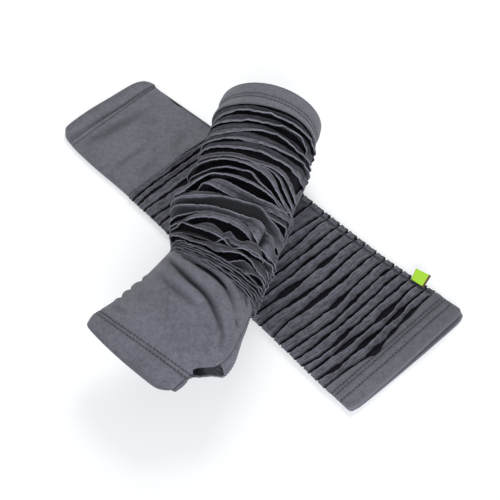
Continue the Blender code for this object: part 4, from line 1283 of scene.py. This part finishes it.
# Painted shade on the strips: across each strip, in the bunch with its rims kept lighter, on loose strips,
# in the rows' grooves and on the undersides; and how a painted highlight along the rims waxes and wanes.
SHADE_STEPS = (-1.0, 0.0, 0.6, 1.0)
BUNCH_SHADE, LOOSE_BUNCH_SHADE = 0.75, 0.35
BUNCH_RIM_LIGHT, BUNCH_RIM_FALL = 0.75, 0.4
RIM_RISE, RIM_SILL = 12.0, 10.8
LOOSE_DARK, LOOSE_DARKER, LOOSE_BOW = 0.14, 1.35, 1.5
BEAD_RISE, BEAD_SILL = 6.0, 5.0
SEWN_SHADE, UNDER_SHADE = 1.1, 0.75
RIM_HIGHLIGHT_MEAN, RIM_HIGHLIGHT_VARY, RIM_HIGHLIGHT_WAVES = 0.84, 0.32, (5, 9, 14, 23)
BACKING_ROWS = 40
BACKING_WALL = 0.95
BACKING_DEPTH = 0.6
BACKING_UNDER = 0.5           # how much deeper it lies where no strip stands free
# From where to where a row runs round a tube, and in how many points, on a sleeve and a hem.
SEWN_LINE = (6.0, 354.0, 500)
HEM_LINE = (1.0, 359.0, 420)


@dataclass(frozen=True)
class StripForm:
    """How the strips of one sleeve stand beside their stitched middle."""

    cloth: float                  # a strip's own width
    thick: float
    bead: float                   # how much its raw edges are thicker
    sewn_at: float                # where its row of stitches lies across it
    low_edge: float
    high_edge: float
    lean: float
    tallest: float
    wander: float                 # how far its edges stray
    narrowest: float
    inset: float
    least: float                  # the least half width of the slit beside it
    side: float                   # how far it rises at the fold side
    seam_side: float              # and at the seam
    groove: float
    caught: float                 # degrees from the seam over which it comes free
    tucked: float
    tuft: float
    gathered: float               # how far along the strips lie in their bunch, where shade is painted on them
    # painted shade at four places across the strip: its first edge, its row, beyond the row and its last
    # edge
    shades: tuple

    def raised(self, width: Array) -> Array:
        """How high the cloth on one side of the row stands when it is pushed into a width."""
        return np.minimum(np.sqrt(np.clip((self.cloth / 2) ** 2 - width**2, 0.0, None)), self.tallest)


@dataclass
class SlashedSleeve:
    """A panel sewn down in rows and slashed between them, on a backing tube."""

    name: str
    tube: Tube
    slashes: Slashes
    form: StripForm
    loose: dict
    angles: Array
    start: float
    end: float
    flat: tuple
    held: str
    rests_on: tuple

    def strip(self, index: int, angles: Array) -> tuple[Array, Array, Array, Array]:
        """The middle surface of one strip.

        Args:
            index: the slit on the strip's elbow side, from 0.
            angles: places round the tube.

        Returns:
            Along, lift and painted shade for each row and column, and how free each column is.
        """
        form = self.form
        seam = from_seam(angles)
        free = eased(within(seam / form.caught))
        first, last = (
            self.slashes.edge(index + k, angles, side, form.least) + side * free * (
                form.inset + form.wander * (ripple(Seed.RAGGED + line, angles, RAGGED)
                                            + FRAY * ripple(Seed.FRAYED + line, angles, FRAYED)))
            for k, side, line in ((0, 1, 3 * index), (1, -1, 3 * index + 4)))
        width = np.maximum(last - first, form.narrowest)
        first = 0.5 * (first + last) - 0.5 * width
        near = width * form.sewn_at
        far = width - near
        settled = np.interp(angles, SETTLED_AT, (
            form.seam_side, 1.0, 1.0, form.side, form.side, 1.0, 1.0, form.seam_side, form.seam_side))
        uneven = 1.0 + LOW_UNEVEN * ripple(Seed.LOW + index, angles, LOW_WAVES)
        other = (1.0 + HIGH_UNEVEN * ripple(Seed.HIGH + index, angles, HIGH_WAVES)
                 + FINE_UNEVEN * ripple(Seed.FINE + index, angles, FINE_WAVES))
        low = settled * form.low_edge * uneven * form.raised(near)
        high = settled * form.high_edge * other * form.raised(far)
        step = np.array(STRIP_STEPS)[:, None]
        to_low, to_high = within(-step), within(step)
        lift = (form.thick / 2 + ABOVE_BACKING - form.groove * hump(step, SEWN_WIDTH)
                + low * to_low**LOW_CURL + high * (1.0 - (1.0 - to_high) ** HIGH_CURL))
        under = self.tube.facing(angles) * np.clip(LOW_LYING - low, 0.0, LOW_LYING)
        along = (first + near - near * to_low + far * to_high - OVERHANG * under * to_low * (form.lean > 0)
                 + form.lean * to_high**2 * free * within((high - LEAN_FROM) / LEAN_OVER))
        tucked = form.tucked * hump(seam, TUCK_WIDTH)
        size = TUFT_MEAN + TUFT_VARY * math.sin(TUFT_TURN * index)
        tuft = form.tuft * size * hump(seam - TUFT_AT, TUFT_WIDTH)
        lift = (free * lift + (1.0 - free) * (self.tube.seam_level - form.thick / 2)
                + tuft * to_high**LOW_CURL - TUCK_DEPTH * tucked)
        # painted shade across the strip, and in the tuck beside the seam
        shade = np.interp(step, SHADE_STEPS, form.shades) * free + tucked
        if index + 1 in self.loose:
            along, lift, shade = self.loosened(index + 1, angles, (along, lift, shade))
        # painted shade deep in the bunch, lighter on the rims and less on loose strips
        most = LOOSE_BUNCH_SHADE if index + 1 in self.loose else BUNCH_SHADE
        into = along - form.gathered
        lighter = BUNCH_RIM_LIGHT - BUNCH_RIM_FALL * within((into - BUNCH_RIM_FROM) / BUNCH_RIM_OVER)
        rim = within(RIM_RISE * np.abs(step) - RIM_SILL)
        shade = shade + within(into / BUNCH_OVER) * most * (1.0 - lighter * rim)
        held = self.tube.free(along, np.broadcast_to(angles, along.shape))
        return along, held * lift + (1.0 - held) * (-form.thick / 2), shade, free

    def loosened(self, number: int, angles: Array, sewn: tuple) -> tuple[Array, ...]:
        """Let a strip follow its knots where it twists loosely.

        Args:
            number: the strip's number from the elbow.
            angles: places round the tube.
            sewn: its along, lift and shade as it was sewn.

        Returns:
            Along, lift and shade with the loose part worked in.
        """
        rows = columns(self.loose[number])
        places = rows[:, 0]
        track = smooth_track(places, rows[:, 1:], np.clip(angles, places[0], places[-1]))
        upper, lower, upper_lift, lower_lift, belly, painted_shade = track.T
        upper = upper + STRAY * ripple(Seed.UPPER + number, angles, LOOSE_EDGE)
        lower = lower + STRAY * ripple(Seed.LOWER + number, angles, LOOSE_EDGE)
        share = (np.array(STRIP_STEPS)[:, None] + 1.0) / 2
        bow = 4.0 * share * (1.0 - share)
        loose = (upper + (lower - upper) * share,
                 upper_lift + (lower_lift - upper_lift) * share + belly * bow,
                 within(LOOSE_DARK + LOOSE_DARKER * painted_shade) * np.minimum(1.0, LOOSE_BOW * bow**0.5))
        beyond = np.maximum(places[0] - angles, angles - places[-1])
        part = eased(within(1.0 - beyond / LOOSE_FADE))
        return tuple(part * new + (1.0 - part) * old for new, old in zip(loose, sewn))

    def panel(self, wardrobe: Wardrobe) -> bpy.types.Object:
        """Make all the strips as one piece."""
        cloth = Cloth()
        form = self.form
        step = np.array(STRIP_STEPS)[:, None]
        rim = within(np.abs(step) * BEAD_RISE - BEAD_SILL)
        # painted shade in each row's groove and on the strips' undersides
        sewn = SEWN_SHADE * form.groove * hump(step, SEWN_WIDTH)
        for index in range(len(self.slashes.slits) - 1):
            along, lift, painted_shade, free = self.strip(index, self.angles)
            # a painted highlight along the rims, stronger and weaker along each strip
            pale_and_highlight = RIM_HIGHLIGHT_MEAN + RIM_HIGHLIGHT_VARY * ripple(Seed.RUBBED + index, self.angles, RIM_HIGHLIGHT_WAVES)
            sunk = there_and_back(np.broadcast_to(within(sewn + painted_shade), along.shape))
            sunk[len(along) + 2:] = UNDER_SHADE * free
            grid, out = self.tube.surface(along, self.angles[None, :], lift)
            thick = form.thick + form.bead * rim * free
            cloth.wall(grid, out, thick, cut_places(self.tube, along, self.angles),
                       there_and_back(rim * free * pale_and_highlight), sunk, closed=True)
        return cloth.make(f"{self.name}_strips", wardrobe.slashed)

    def backing(self, wardrobe: Wardrobe) -> bpy.types.Object:
        """Make the plain tube that the strips are sewn to."""
        along = np.broadcast_to(np.linspace(self.start, self.end, BACKING_ROWS)[:, None],
                                (BACKING_ROWS, len(self.angles)))
        loose = self.tube.free(along, np.broadcast_to(self.angles, along.shape))
        lift = -loose * BACKING_DEPTH - (1.0 - loose) * (self.form.thick + BACKING_UNDER)
        cloth = Cloth()
        cloth.wall(*self.tube.surface(along, self.angles[None, :], lift), BACKING_WALL,
                   cut_places(self.tube, along, self.angles), 0.0, 0.0, closed=True)
        return cloth.make(f"{self.name}_backing", wardrobe.backing)

    def sewing(self, wardrobe: Wardrobe) -> bpy.types.Object:
        """Sew each strip down along its middle."""
        stitching = Stitching(length=1.5, width=0.6, height=0.34, pitch=3.0)
        angles = np.linspace(*SEWN_LINE)
        middle = STRIP_STEPS.index(0.0)
        for index in range(len(self.slashes.slits) - 1):
            along, lift, _, _ = self.strip(index, angles)
            stitching.row(self.tube, along[middle], angles, lift[middle] + self.form.thick / 2)
        return stitching.make(f"{self.name}_rows", wardrobe, Slot.SLASHED)

    def build(self, wardrobe: Wardrobe) -> None:
        """Make the panel, its backing and its rows of stitches."""
        panel = self.panel(wardrobe)
        backing = self.backing(wardrobe)
        rows = self.sewing(wardrobe)
        settle(panel, [f"{self.name}_sleeve"])
        settle(backing)
        (self.end - self.start) * MM


# --- plain cloth --------------------------------------------------------------------

@dataclass(frozen=True)
class Row:
    """A row of stitches round a hem, with its place at the seam and at the fold."""

    seam: float
    fold: float

    def place(self, angles: Array) -> Array:
        """Where the row runs along the tube at each angle."""
        return self.seam + (self.fold - self.seam) * (0.5 - 0.5 * np.cos(np.radians(angles)))


@dataclass
class PlainPanel:
    """A plain stretch of a tube with a turned hem and its rows of stitches."""

    name: str
    tube: Tube
    slashes: Slashes
    side: int                     # 1 where it begins beyond the last slit, -1 where it ends at the first
    reach: float                  # over what length it bends to that slit
    angles: Array
    stations: Array
    rows: Sequence[Row]
    hem: tuple                    # from where to where the hem lies
    nodes: Sequence[str]
    flat: tuple
    held: str
    rests_on: tuple
    wall: float = 1.5
    hem_wall: float = 2.2
    groove: float = 0.45
    drawn: float = 0.9            # how far to each side a row draws the cloth in
    # painted shade in the grooves that the rows draw in, and the most painted shade anywhere
    drawn_shade: float = 0.28
    deepest: float = 0.85
    proud: float = 0.15           # how far the thread lies above its groove

    def shape(self, along: Array, angles: Array) -> Array:
        """How far the plain cloth stands out at each place."""
        return np.zeros(along.shape)

    def painted_shade_map(self, along: Array, angles: Array) -> Array:
        """How much shade is painted on the plain cloth, from 0 to 1."""
        return np.zeros(along.shape)

    def pale_and_highlight(self, along: Array) -> Array:
        """How much highlight is painted on the plain cloth where it is rolled over a rim, from 0 to 1."""
        return np.zeros(along.shape)

    def places(self) -> tuple[Array, Array]:
        """Along and angle of every point of the outer side, its last ring bent to the slit."""
        along = np.broadcast_to(self.stations[:, None], (len(self.stations), len(self.angles)))
        angles = np.broadcast_to(self.angles, along.shape)
        begins = self.side > 0
        end = self.stations[0 if begins else -1]
        slit = len(self.slashes.slits) - 1 if begins else 0
        fade = within(1.0 - np.abs(along - end) / self.reach)
        return along + fade * (self.slashes.edge(slit, angles, self.side) - end), angles

    def drawn_in(self, along: Array, angles: Array) -> Array:
        """How much the stitches draw the cloth in, from 0 to 1."""
        return np.max([hump(along - row.place(angles), self.drawn) for row in self.rows], axis=0)

    def build(self, wardrobe: Wardrobe) -> None:
        """Make the cloth and sew its rows."""
        along, angles = self.places()
        pulled = self.drawn_in(along, angles)
        grid, out = self.tube.surface(along, angles, self.shape(along, angles) - self.groove * pulled)
        in_hem = (along > self.hem[0]) & (along < self.hem[1])
        wall = np.where(in_hem, self.hem_wall, self.wall)
        middle = grid - surface_normals(grid, out, False) * wall[..., None] / 2
        # painted shade in the row grooves and in the hollows
        sunk = np.clip(self.drawn_shade * pulled + self.painted_shade_map(along, angles), 0.0, self.deepest)
        cloth = Cloth()
        cloth.wall(middle, out, wall, np.stack([self.tube.round_mm(angles), along], -1),
                   there_and_back(self.pale_and_highlight(along)), there_and_back(sunk), closed=False)
        piece = settle(cloth.make(self.name, wardrobe.jersey), self.nodes)
        stitching = Stitching()
        line = np.linspace(*HEM_LINE)
        for row in self.rows:
            place = row.place(line)
            stitching.row(self.tube, place, line, self.shape(place, line) - self.groove + self.proud)
        thread = stitching.make(f"{self.name}_rows", wardrobe, Slot.JERSEY)


@dataclass
class WornHand(PlainPanel):
    """The worn one's hand, wrinkled at the wrist and open at the thumb."""

    round_mm = 0.66               # for each degree
    wrist = 187.0
    wrist_lift = 2.6
    wrist_fade = 16.0
    palm_width = 16.0             # the fine creases beside the thumb's base
    palm_start, palm_fade_in = 222.0, 6.0
    palm_end, palm_fade_out = 243.0, 5.0
    palm_depth, palm_pitch, palm_skew = 0.35, 3.0, 2.0
    seam_depth, seam_width = 0.9, 2.2
    seam_reach, seam_least = 10.0, 0.15
    hem_proud, hem_step = 0.4, 1.5
    fold_shade = 0.14
    rim_shade, rim_width = 0.25, 2.2
    roll = 0.9
    tilt = 2.3
    tilt_places = (236.5, 242.0, 248.0, 251.9, 254.8, 258.0, 265.0, 272.0)
    tilt_shares = (0.0, 0.2, 0.5, 0.8, 1.0, 0.95, 0.4, 0.0)

    def shape(self, along: Array, angles: Array) -> Array:
        """The hand is bunched beside the strips and creased towards the palm."""
        lift = self.wrist_lift * hump(along - self.wrist, self.wrist_fade)
        for fold in WORN_FOLDS:
            lift = lift - fold.depth_at(along, angles, self.round_mm)
        palm = (hump(angles - THUMB_BASE.angle, self.palm_width)
                * within((along - self.palm_start) / self.palm_fade_in)
                * within((self.palm_end - along) / self.palm_fade_out))
        creases = np.cos(along * (2 * math.pi / self.palm_pitch) + np.radians(angles) * self.palm_skew)
        lift = lift + self.palm_depth * palm * creases
        lift = lift - self.seam_depth * hump(from_seam(angles), self.seam_width)
        into_hem = along - self.hem[0]
        roll = self.roll * np.sin(math.pi * within(into_hem / (WORN_LENGTH - self.hem[0])))
        near_seam = np.clip(from_seam(angles) / self.seam_reach, self.seam_least, 1.0)
        return lift + (self.hem_proud * within(into_hem / self.hem_step) + roll) * near_seam

    def painted_shade_map(self, along: Array, angles: Array) -> Array:
        """Shade is painted into the creases, darker towards their bottoms, and at the knuckle rim."""
        depth = sum(np.clip(fold.depth_at(along, angles, self.round_mm), 0.0, None) for fold in WORN_FOLDS)
        return self.fold_shade * depth + self.rim_shade * hump(WORN_LENGTH - along, self.rim_width)

    def places(self) -> tuple[Array, Array]:
        """The hem is slanted and the thumb's gap pulled open."""
        along, angles = super().places()
        turned = WORN_THUMB.turned(along, angles)
        tilt = self.tilt * np.interp(along, self.tilt_places, self.tilt_shares)
        return along - tilt * np.cos(np.radians(angles)), turned


@dataclass
class FlatHand(PlainPanel):
    """The flat one's hand, with its thumb opening nearly closed."""

    round_mm = TOP_MM / TOP_END
    # each family of waves: its seed, how it follows the angle and the length, and its counts
    waves = ((7, 0.5, 1.3, (4, 6, 9)), (8, 1.0, -0.8, (3, 5)))
    wave_size, wave_base = 0.35, 2.0
    edge_start, edge_fade, edge_lift = 84.0, 8.0, 0.4
    hem_end, hem_power = 15.5, 0.7
    lowest = -0.2
    seam_depth, seam_width = 0.7, 1.1
    fold_shade = 0.34
    rim_shade, rim_width = 0.3, 5.0
    row_shade, row_place, row_width = 0.4, 14.2, 1.6
    seam_shade, seam_shade_width, seam_start = 0.5, 1.3, 20.0

    def shape(self, along: Array, angles: Array) -> Array:
        """Slight waves where the cloth isn't pressed."""
        top = self.tube.facing(angles)
        waves = sum(ripple(seed, angles * turn + along * run, counts)
                    for seed, turn, run, counts in self.waves)
        edge = within((along - self.edge_start) / self.edge_fade)
        hem = np.sin(math.pi * within(along / self.hem_end)) ** self.hem_power
        lift = top * (self.wave_size * (waves + self.wave_base) + self.edge_lift * edge + hem)
        for fold in FLAT_FOLDS:
            lift = lift - top * fold.depth_at(along, angles, self.round_mm)
        seam = hump(self.tube.round_mm(from_seam(angles)), self.seam_width)
        return np.maximum(lift, self.lowest) - self.seam_depth * seam

    def painted_shade_map(self, along: Array, angles: Array) -> Array:
        """Shade is painted a little into the waves, and onto the hem towards its rim and beside its row,
        and along the seam.
        """
        depth = sum(np.clip(fold.depth_at(along, angles, self.round_mm), 0.0, None) for fold in FLAT_FOLDS)
        rim = (self.rim_shade * hump(along, self.rim_width)
               + self.row_shade * hump(along - self.row_place, self.row_width))
        seam = (self.seam_shade * hump(self.tube.round_mm(from_seam(angles)), self.seam_shade_width)
                * within(along / self.seam_start - 1.0))
        return self.tube.facing(angles) * (self.fold_shade * depth + rim) + seam

    def places(self) -> tuple[Array, Array]:
        """The thumb's gap is pulled open a little."""
        along, angles = super().places()
        return along, FLAT_THUMB.turned(along, angles)


@dataclass
class WornBand(PlainPanel):
    """The worn one's elbow band, whose lower edge stands over the first slit."""

    swell_places = (0.0, 6.0, 13.0, 17.0, 21.0, 25.0)
    swell = (0.4, 1.1, 0.6, 0.8, 1.8, 2.6)
    rim_shade, rim_width = 0.22, 2.0
    row_shade, row_place, row_width = 0.14, 15.0, 2.4

    def shape(self, along: Array, angles: Array) -> Array:
        """The band swells between its rim, its rows and its free edge."""
        return np.interp(along, self.swell_places, self.swell)

    def painted_shade_map(self, along: Array, angles: Array) -> Array:
        """Shade is painted on the band at its rim and between its rows."""
        return (self.rim_shade * hump(along, self.rim_width)
                + self.row_shade * hump(along - self.row_place, self.row_width))


@dataclass
class FlatBand(PlainPanel):
    """The flat one's elbow band, with its open mouth."""

    lying, edge_lift = 0.4, 0.6
    edge_start, edge_fade = 339.0, 6.0
    seam_shade, seam_reach = 0.22, 70.0
    row_shade, row_place, row_width = 0.14, 343.0, 4.5
    rim = 4.0

    def shape(self, along: Array, angles: Array) -> Array:
        """The first edge lies on the backing like a strip."""
        edge = within(1.0 - (along - self.edge_start) / self.edge_fade)
        return self.tube.free(along, angles) * (self.lying + self.edge_lift * edge)

    def painted_shade_map(self, along: Array, angles: Array) -> Array:
        """Shade is painted on the band towards its seam and beside its rows."""
        return (self.seam_shade * hump(angles, self.seam_reach)
                + self.row_shade * hump(along - self.row_place, self.row_width))

    def pale_and_highlight(self, along: Array) -> Array:
        """A highlight is painted on the mouth's rim."""
        return within((along - FLAT_LENGTH + self.rim) / self.rim) ** 2


# --- label and seams ----------------------------------------------------------------

@dataclass(frozen=True)
class LabelEnd:
    """One end of the loop label: where it leaves the seam and how far it stands out."""

    along: float
    reach: float
    lean: float
    rise: float


@dataclass(frozen=True)
class LoopLabel:
    """The bare woven label, folded into a loop and caught in the side seam."""

    tube: FlatTube
    ends: tuple = (LabelEnd(315.5, 8.8, 3.2, 2.6), LabelEnd(327.0, 11.0, 2.4, 1.9))
    flat: tuple = (0.0115, 0.022)
    thick: float = 1.3
    sheet: float = 0.38
    count: int = 14
    straight: float = 0.9         # the share of its length where its sides run straight
    bend_at: float = 0.95
    side_steps: int = 8
    bend_steps: int = 9
    above: float = 0.8            # how far it leaves the seam above the strips' level

    def build(self, wardrobe: Wardrobe) -> None:
        """Make the loop."""
        half = (self.thick - self.sheet) / 2
        turns = np.radians(np.linspace(90.0, -90.0, self.bend_steps))
        out_along = np.linspace(0.0, self.straight, self.side_steps)
        back_along = np.linspace(self.straight, 0.0, self.side_steps)
        path = np.array([(r, half, 0.0) for r in out_along]
                        + [(self.bend_at, half * math.sin(t), half * math.cos(t)) for t in turns]
                        + [(r, -half, 0.0) for r in back_along])
        one, two = columns(self.ends)
        strips = []
        for share in np.linspace(0.0, 1.0, self.count):
            along, reach, lean, rise = one + (two - one) * share
            foot = self.tube.point(along, 0.0, self.tube.seam_level + self.above + self.thick / 2)
            run = reach * self.tube.side - lean * self.tube.axis + rise * UP
            over = unit(UP - run * (run @ UP) / (run @ run))
            strips.append(foot + path @ np.array([run, over, unit(run)]))
        grid = np.array(strips).transpose(1, 0, 2)
        rows = len(path)
        side = np.where(np.arange(rows) < rows // 2, 1.0, -1.0)
        out = side[:, None, None] * np.broadcast_to(UP, grid.shape)
        width, length = (size / MM for size in self.flat)
        cut = np.stack(np.meshgrid(np.linspace(0.0, length, rows), np.linspace(0.0, width, self.count + 1),
                                   indexing="ij"), -1)
        back = np.where(np.arange(rows) > rows // 2 + 3, 1.0, 0.0)[:, None]
        back = np.maximum(back, within(np.arange(self.count) - self.count + 3.0)[None, :])
        cloth = Cloth()
        cloth.wall(grid, out, self.sheet, cut, 0.0, there_and_back(back), closed=False)
        piece = settle(cloth.make("loop_label", wardrobe.label), ["side_label"])


@dataclass(frozen=True)
class SideSeam:
    """The closed side seam of a slashed sleeve, bumpy where each strip is caught."""

    name: str
    tube: Tube
    slashes: Slashes
    start: float
    end: float
    radius: float
    depth: float
    # how much shade is painted on the ridge
    shade: float
    step: float = 0.6
    facet: float = 0.6            # how far round it a facet reaches on the flat cloth
    notch: float = 0.55           # how much thinner it is between two strips, and over what reach
    notch_width: float = 0.8
    breadth: float = 1.5          # how much wider it is than high
    # how pale the ridge is as a raw edge, with its painted highlight
    edge: float = 0.25

    def build(self, wardrobe: Wardrobe) -> None:
        """Make the ridge."""
        along = np.arange(self.start, self.end, self.step)
        edges = np.array([slit.seam for slit in self.slashes.slits])
        gaps = np.min(np.abs(along[:, None] - edges), axis=1)
        size = (self.radius * (1.0 - self.notch * hump(gaps, self.notch_width)))[:, None, None]
        turns = np.radians(np.arange(0, 360, 45))[None, :, None]
        centre, out = self.tube.surface(along, 0.0, self.tube.seam_level - self.depth)
        out = unit(out)
        side = unit(np.cross(unit(np.gradient(centre, axis=0)), out))
        grid = centre[:, None] + size * (self.breadth * np.cos(turns) * side[:, None]
                                         + np.sin(turns) * out[:, None])
        cut = np.stack(np.meshgrid(np.arange(turns.size + 1) * self.facet, along), -1)
        cloth = Cloth()
        cloth.add(grid, cut, self.edge, self.shade)
        settle(cloth.make(f"{self.name}_seam", wardrobe.slashed))


# --- studio -------------------------------------------------------------------------

def place_in_scene(name: str, data: bpy.types.ID, location: tuple, turn: tuple) -> bpy.types.Object:
    """Link a new object to the scene, placed and turned."""
    holder = bpy.data.objects.new(name, data)
    holder.location = location
    holder.rotation_euler = Euler(turn)
    bpy.context.scene.collection.objects.link(holder)
    return holder


@dataclass(frozen=True)
class SoftLight:
    """A large soft light."""

    name: str
    place: tuple
    size: float
    power: float
    colour: tuple = (1.0, 1.0, 1.0)

    def hang(self) -> None:
        """Hang the light and turn it to the pair."""
        lamp = bpy.data.lights.new(self.name, "AREA")
        lamp.shape = "SQUARE"
        lamp.size = self.size
        lamp.energy = self.power
        lamp.color = self.colour
        x, y, z = self.place
        place_in_scene(self.name, lamp, self.place,
                       (math.atan2(math.hypot(x, y), z), 0.0, math.atan2(y, x) + math.pi / 2))


@dataclass(frozen=True)
class Studio:
    """The pale floor, the soft lights and the camera."""

    camera_place: tuple = (0.0013, -0.5128, 0.648)
    pitch: float = 52.77
    focal: float = 1020.0
    frame_px: float = 500.0
    sensor: float = 36.0
    far: float = 3.0
    level: float = -0.0002
    sky: float = 0.40
    sky_colour: tuple = (0.97, 0.985, 1.0)
    paper: Paper = Paper("studio_paper", (0.62, 0.625, 0.63), 0.47)
    lights: tuple = (
        SoftLight("window", (0.30, 1.15, 1.15), 0.7, 13.5),
        SoftLight("fill", (-0.10, -2.80, 1.30), 1.8, 72.0, (0.87, 0.94, 1.0)),
    )

    def build(self) -> None:
        """Set the scene round the pair."""
        scene = bpy.context.scene
        scene.view_settings.view_transform = "Standard"
        world = bpy.data.worlds.new("studio")
        world.use_nodes = True
        sky = world.node_tree.nodes["Background"].inputs
        sky["Color"].default_value = rgba(self.sky_colour)
        sky["Strength"].default_value = self.sky
        scene.world = world
        mesh = bpy.data.meshes.new("table")
        mesh.from_pydata([(x * self.far, y * self.far, self.level)
                          for x, y in ((-1, -1), (1, -1), (1, 1), (-1, 1))], [], [(0, 1, 2, 3)])
        mesh.materials.append(self.paper.weave())
        place_in_scene("table", mesh, (0.0, 0.0, 0.0), (0.0, 0.0, 0.0))
        for light in self.lights:
            light.hang()
        lens = bpy.data.cameras.new("camera")
        lens.sensor_fit = "HORIZONTAL"
        lens.sensor_width = self.sensor
        lens.lens = self.sensor * self.focal / self.frame_px
        lens.dof.use_dof = False
        scene.camera = place_in_scene("camera", lens, self.camera_place,
                                      (math.radians(90.0 - self.pitch), 0.0, 0.0))


# --- the pair -----------------------------------------------------------------------

def round_columns(*runs: tuple) -> Array:
    """Columns round a tube, from runs of a start, an end and a count."""
    return np.concatenate([np.linspace(start, end, count, endpoint=False) for start, end, count in runs])


def main() -> None:
    """Build both arm warmers and the studio."""
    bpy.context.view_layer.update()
    wardrobe = Wardrobe.weave()
    worn, flat = WornTube(), FlatTube()
    Studio().build()
    worn_angles = round_columns((0.0, 180.0, 92), (180.0, 360.0, 36))
    flat_angles = round_columns((0.0, TOP_END, 84), (TOP_END, BEND_END, 9), (BEND_END, UNDER_END, 24),
                                (UNDER_END, 360.0, 15))
    worn_open, flat_open = np.append(worn_angles, 360.0), np.append(flat_angles, 360.0)
    pieces = (
        SlashedSleeve(
            "worn", worn, WORN_SLASHES,
            StripForm(cloth=9.5, thick=0.75, bead=0.3, sewn_at=0.36, low_edge=0.22, high_edge=1.0,
                      lean=1.0, tallest=4.6, wander=0.22, narrowest=0.9, inset=0.5, least=1.15,
                      side=0.3, seam_side=1.0, groove=0.45, caught=14.4, tucked=0.0, tuft=3.2,
                      gathered=150.0, shades=(0.85, 0.45, 0.10, 0.0)),
            LOOSE_STRIPS, worn_angles, 18.0, 190.0, (0.232, 0.200), "gathered", ("flat_strips",)),
        SlashedSleeve(
            "flat", flat, FLAT_SLASHES,
            StripForm(cloth=10.6, thick=0.8, bead=0.25, sewn_at=0.5, low_edge=0.5, high_edge=0.5,
                      lean=0.0, tallest=2.2, wander=0.3, narrowest=2.0, inset=0.65, least=0.65,
                      side=0.35, seam_side=0.3, groove=0.2, caught=7.0, tucked=0.9, tuft=0.6,
                      gathered=400.0, shades=(0.30, 0.06, 0.06, 0.85)),
            {}, flat_angles, 90.0, 345.0, (0.238, 0.235), "laid", ("table",)),
        SideSeam("worn", worn, WORN_SLASHES, 24.0, 184.0, radius=0.75, depth=0.1, shade=0.0),
        SideSeam("flat", flat, FLAT_SLASHES, 96.0, 338.0, radius=0.6, depth=1.1, shade=0.8),
        WornHand(
            "worn_hand_cloth", worn, WORN_SLASHES, 1, 12.0, worn_open,
            np.concatenate([np.linspace(185.5, 252.0, 96), np.linspace(252.6, WORN_LENGTH, 40)]),
            (Row(252.5, 257.1), Row(255.6, 259.9)), (256.0, math.inf),
            ("worn_hand", "worn_knuckle_hem"), (0.245, 0.088), "draped", ("worn_backing",)),
        WornBand(
            "worn_elbow_cloth", worn, WORN_SLASHES, -1, 7.0, worn_open, np.linspace(0.0, 24.0, 40),
            (Row(13.0, 13.0), Row(17.0, 17.0)), (-math.inf, 17.0),
            ("worn_elbow_hem",), (0.245, 0.026), "gathered", ("worn_backing",)),
        FlatHand(
            "flat_hand_cloth", flat, FLAT_SLASHES, -1, 12.0, flat_open, np.linspace(0.0, 95.0, 110),
            (Row(13.0, 17.0), Row(16.0, 22.0)), (-math.inf, 17.0),
            ("flat_hand", "flat_knuckle_hem"), (0.200, 0.096), "laid", ("table",), hem_wall=1.7),
        FlatBand(
            "flat_elbow_cloth", flat, FLAT_SLASHES, 1, 6.0, flat_open, np.linspace(340.0, FLAT_LENGTH, 42),
            (Row(351.0, 351.0), Row(345.0, 345.0), Row(342.2, 342.2)), (345.0, math.inf),
            ("flat_elbow_hem",), (0.245, 0.022), "laid", ("table",), hem_wall=1.7),
        LoopLabel(flat),
    )
    for piece in pieces:
        piece.build(wardrobe)


if __name__ == "__main__":
    main()
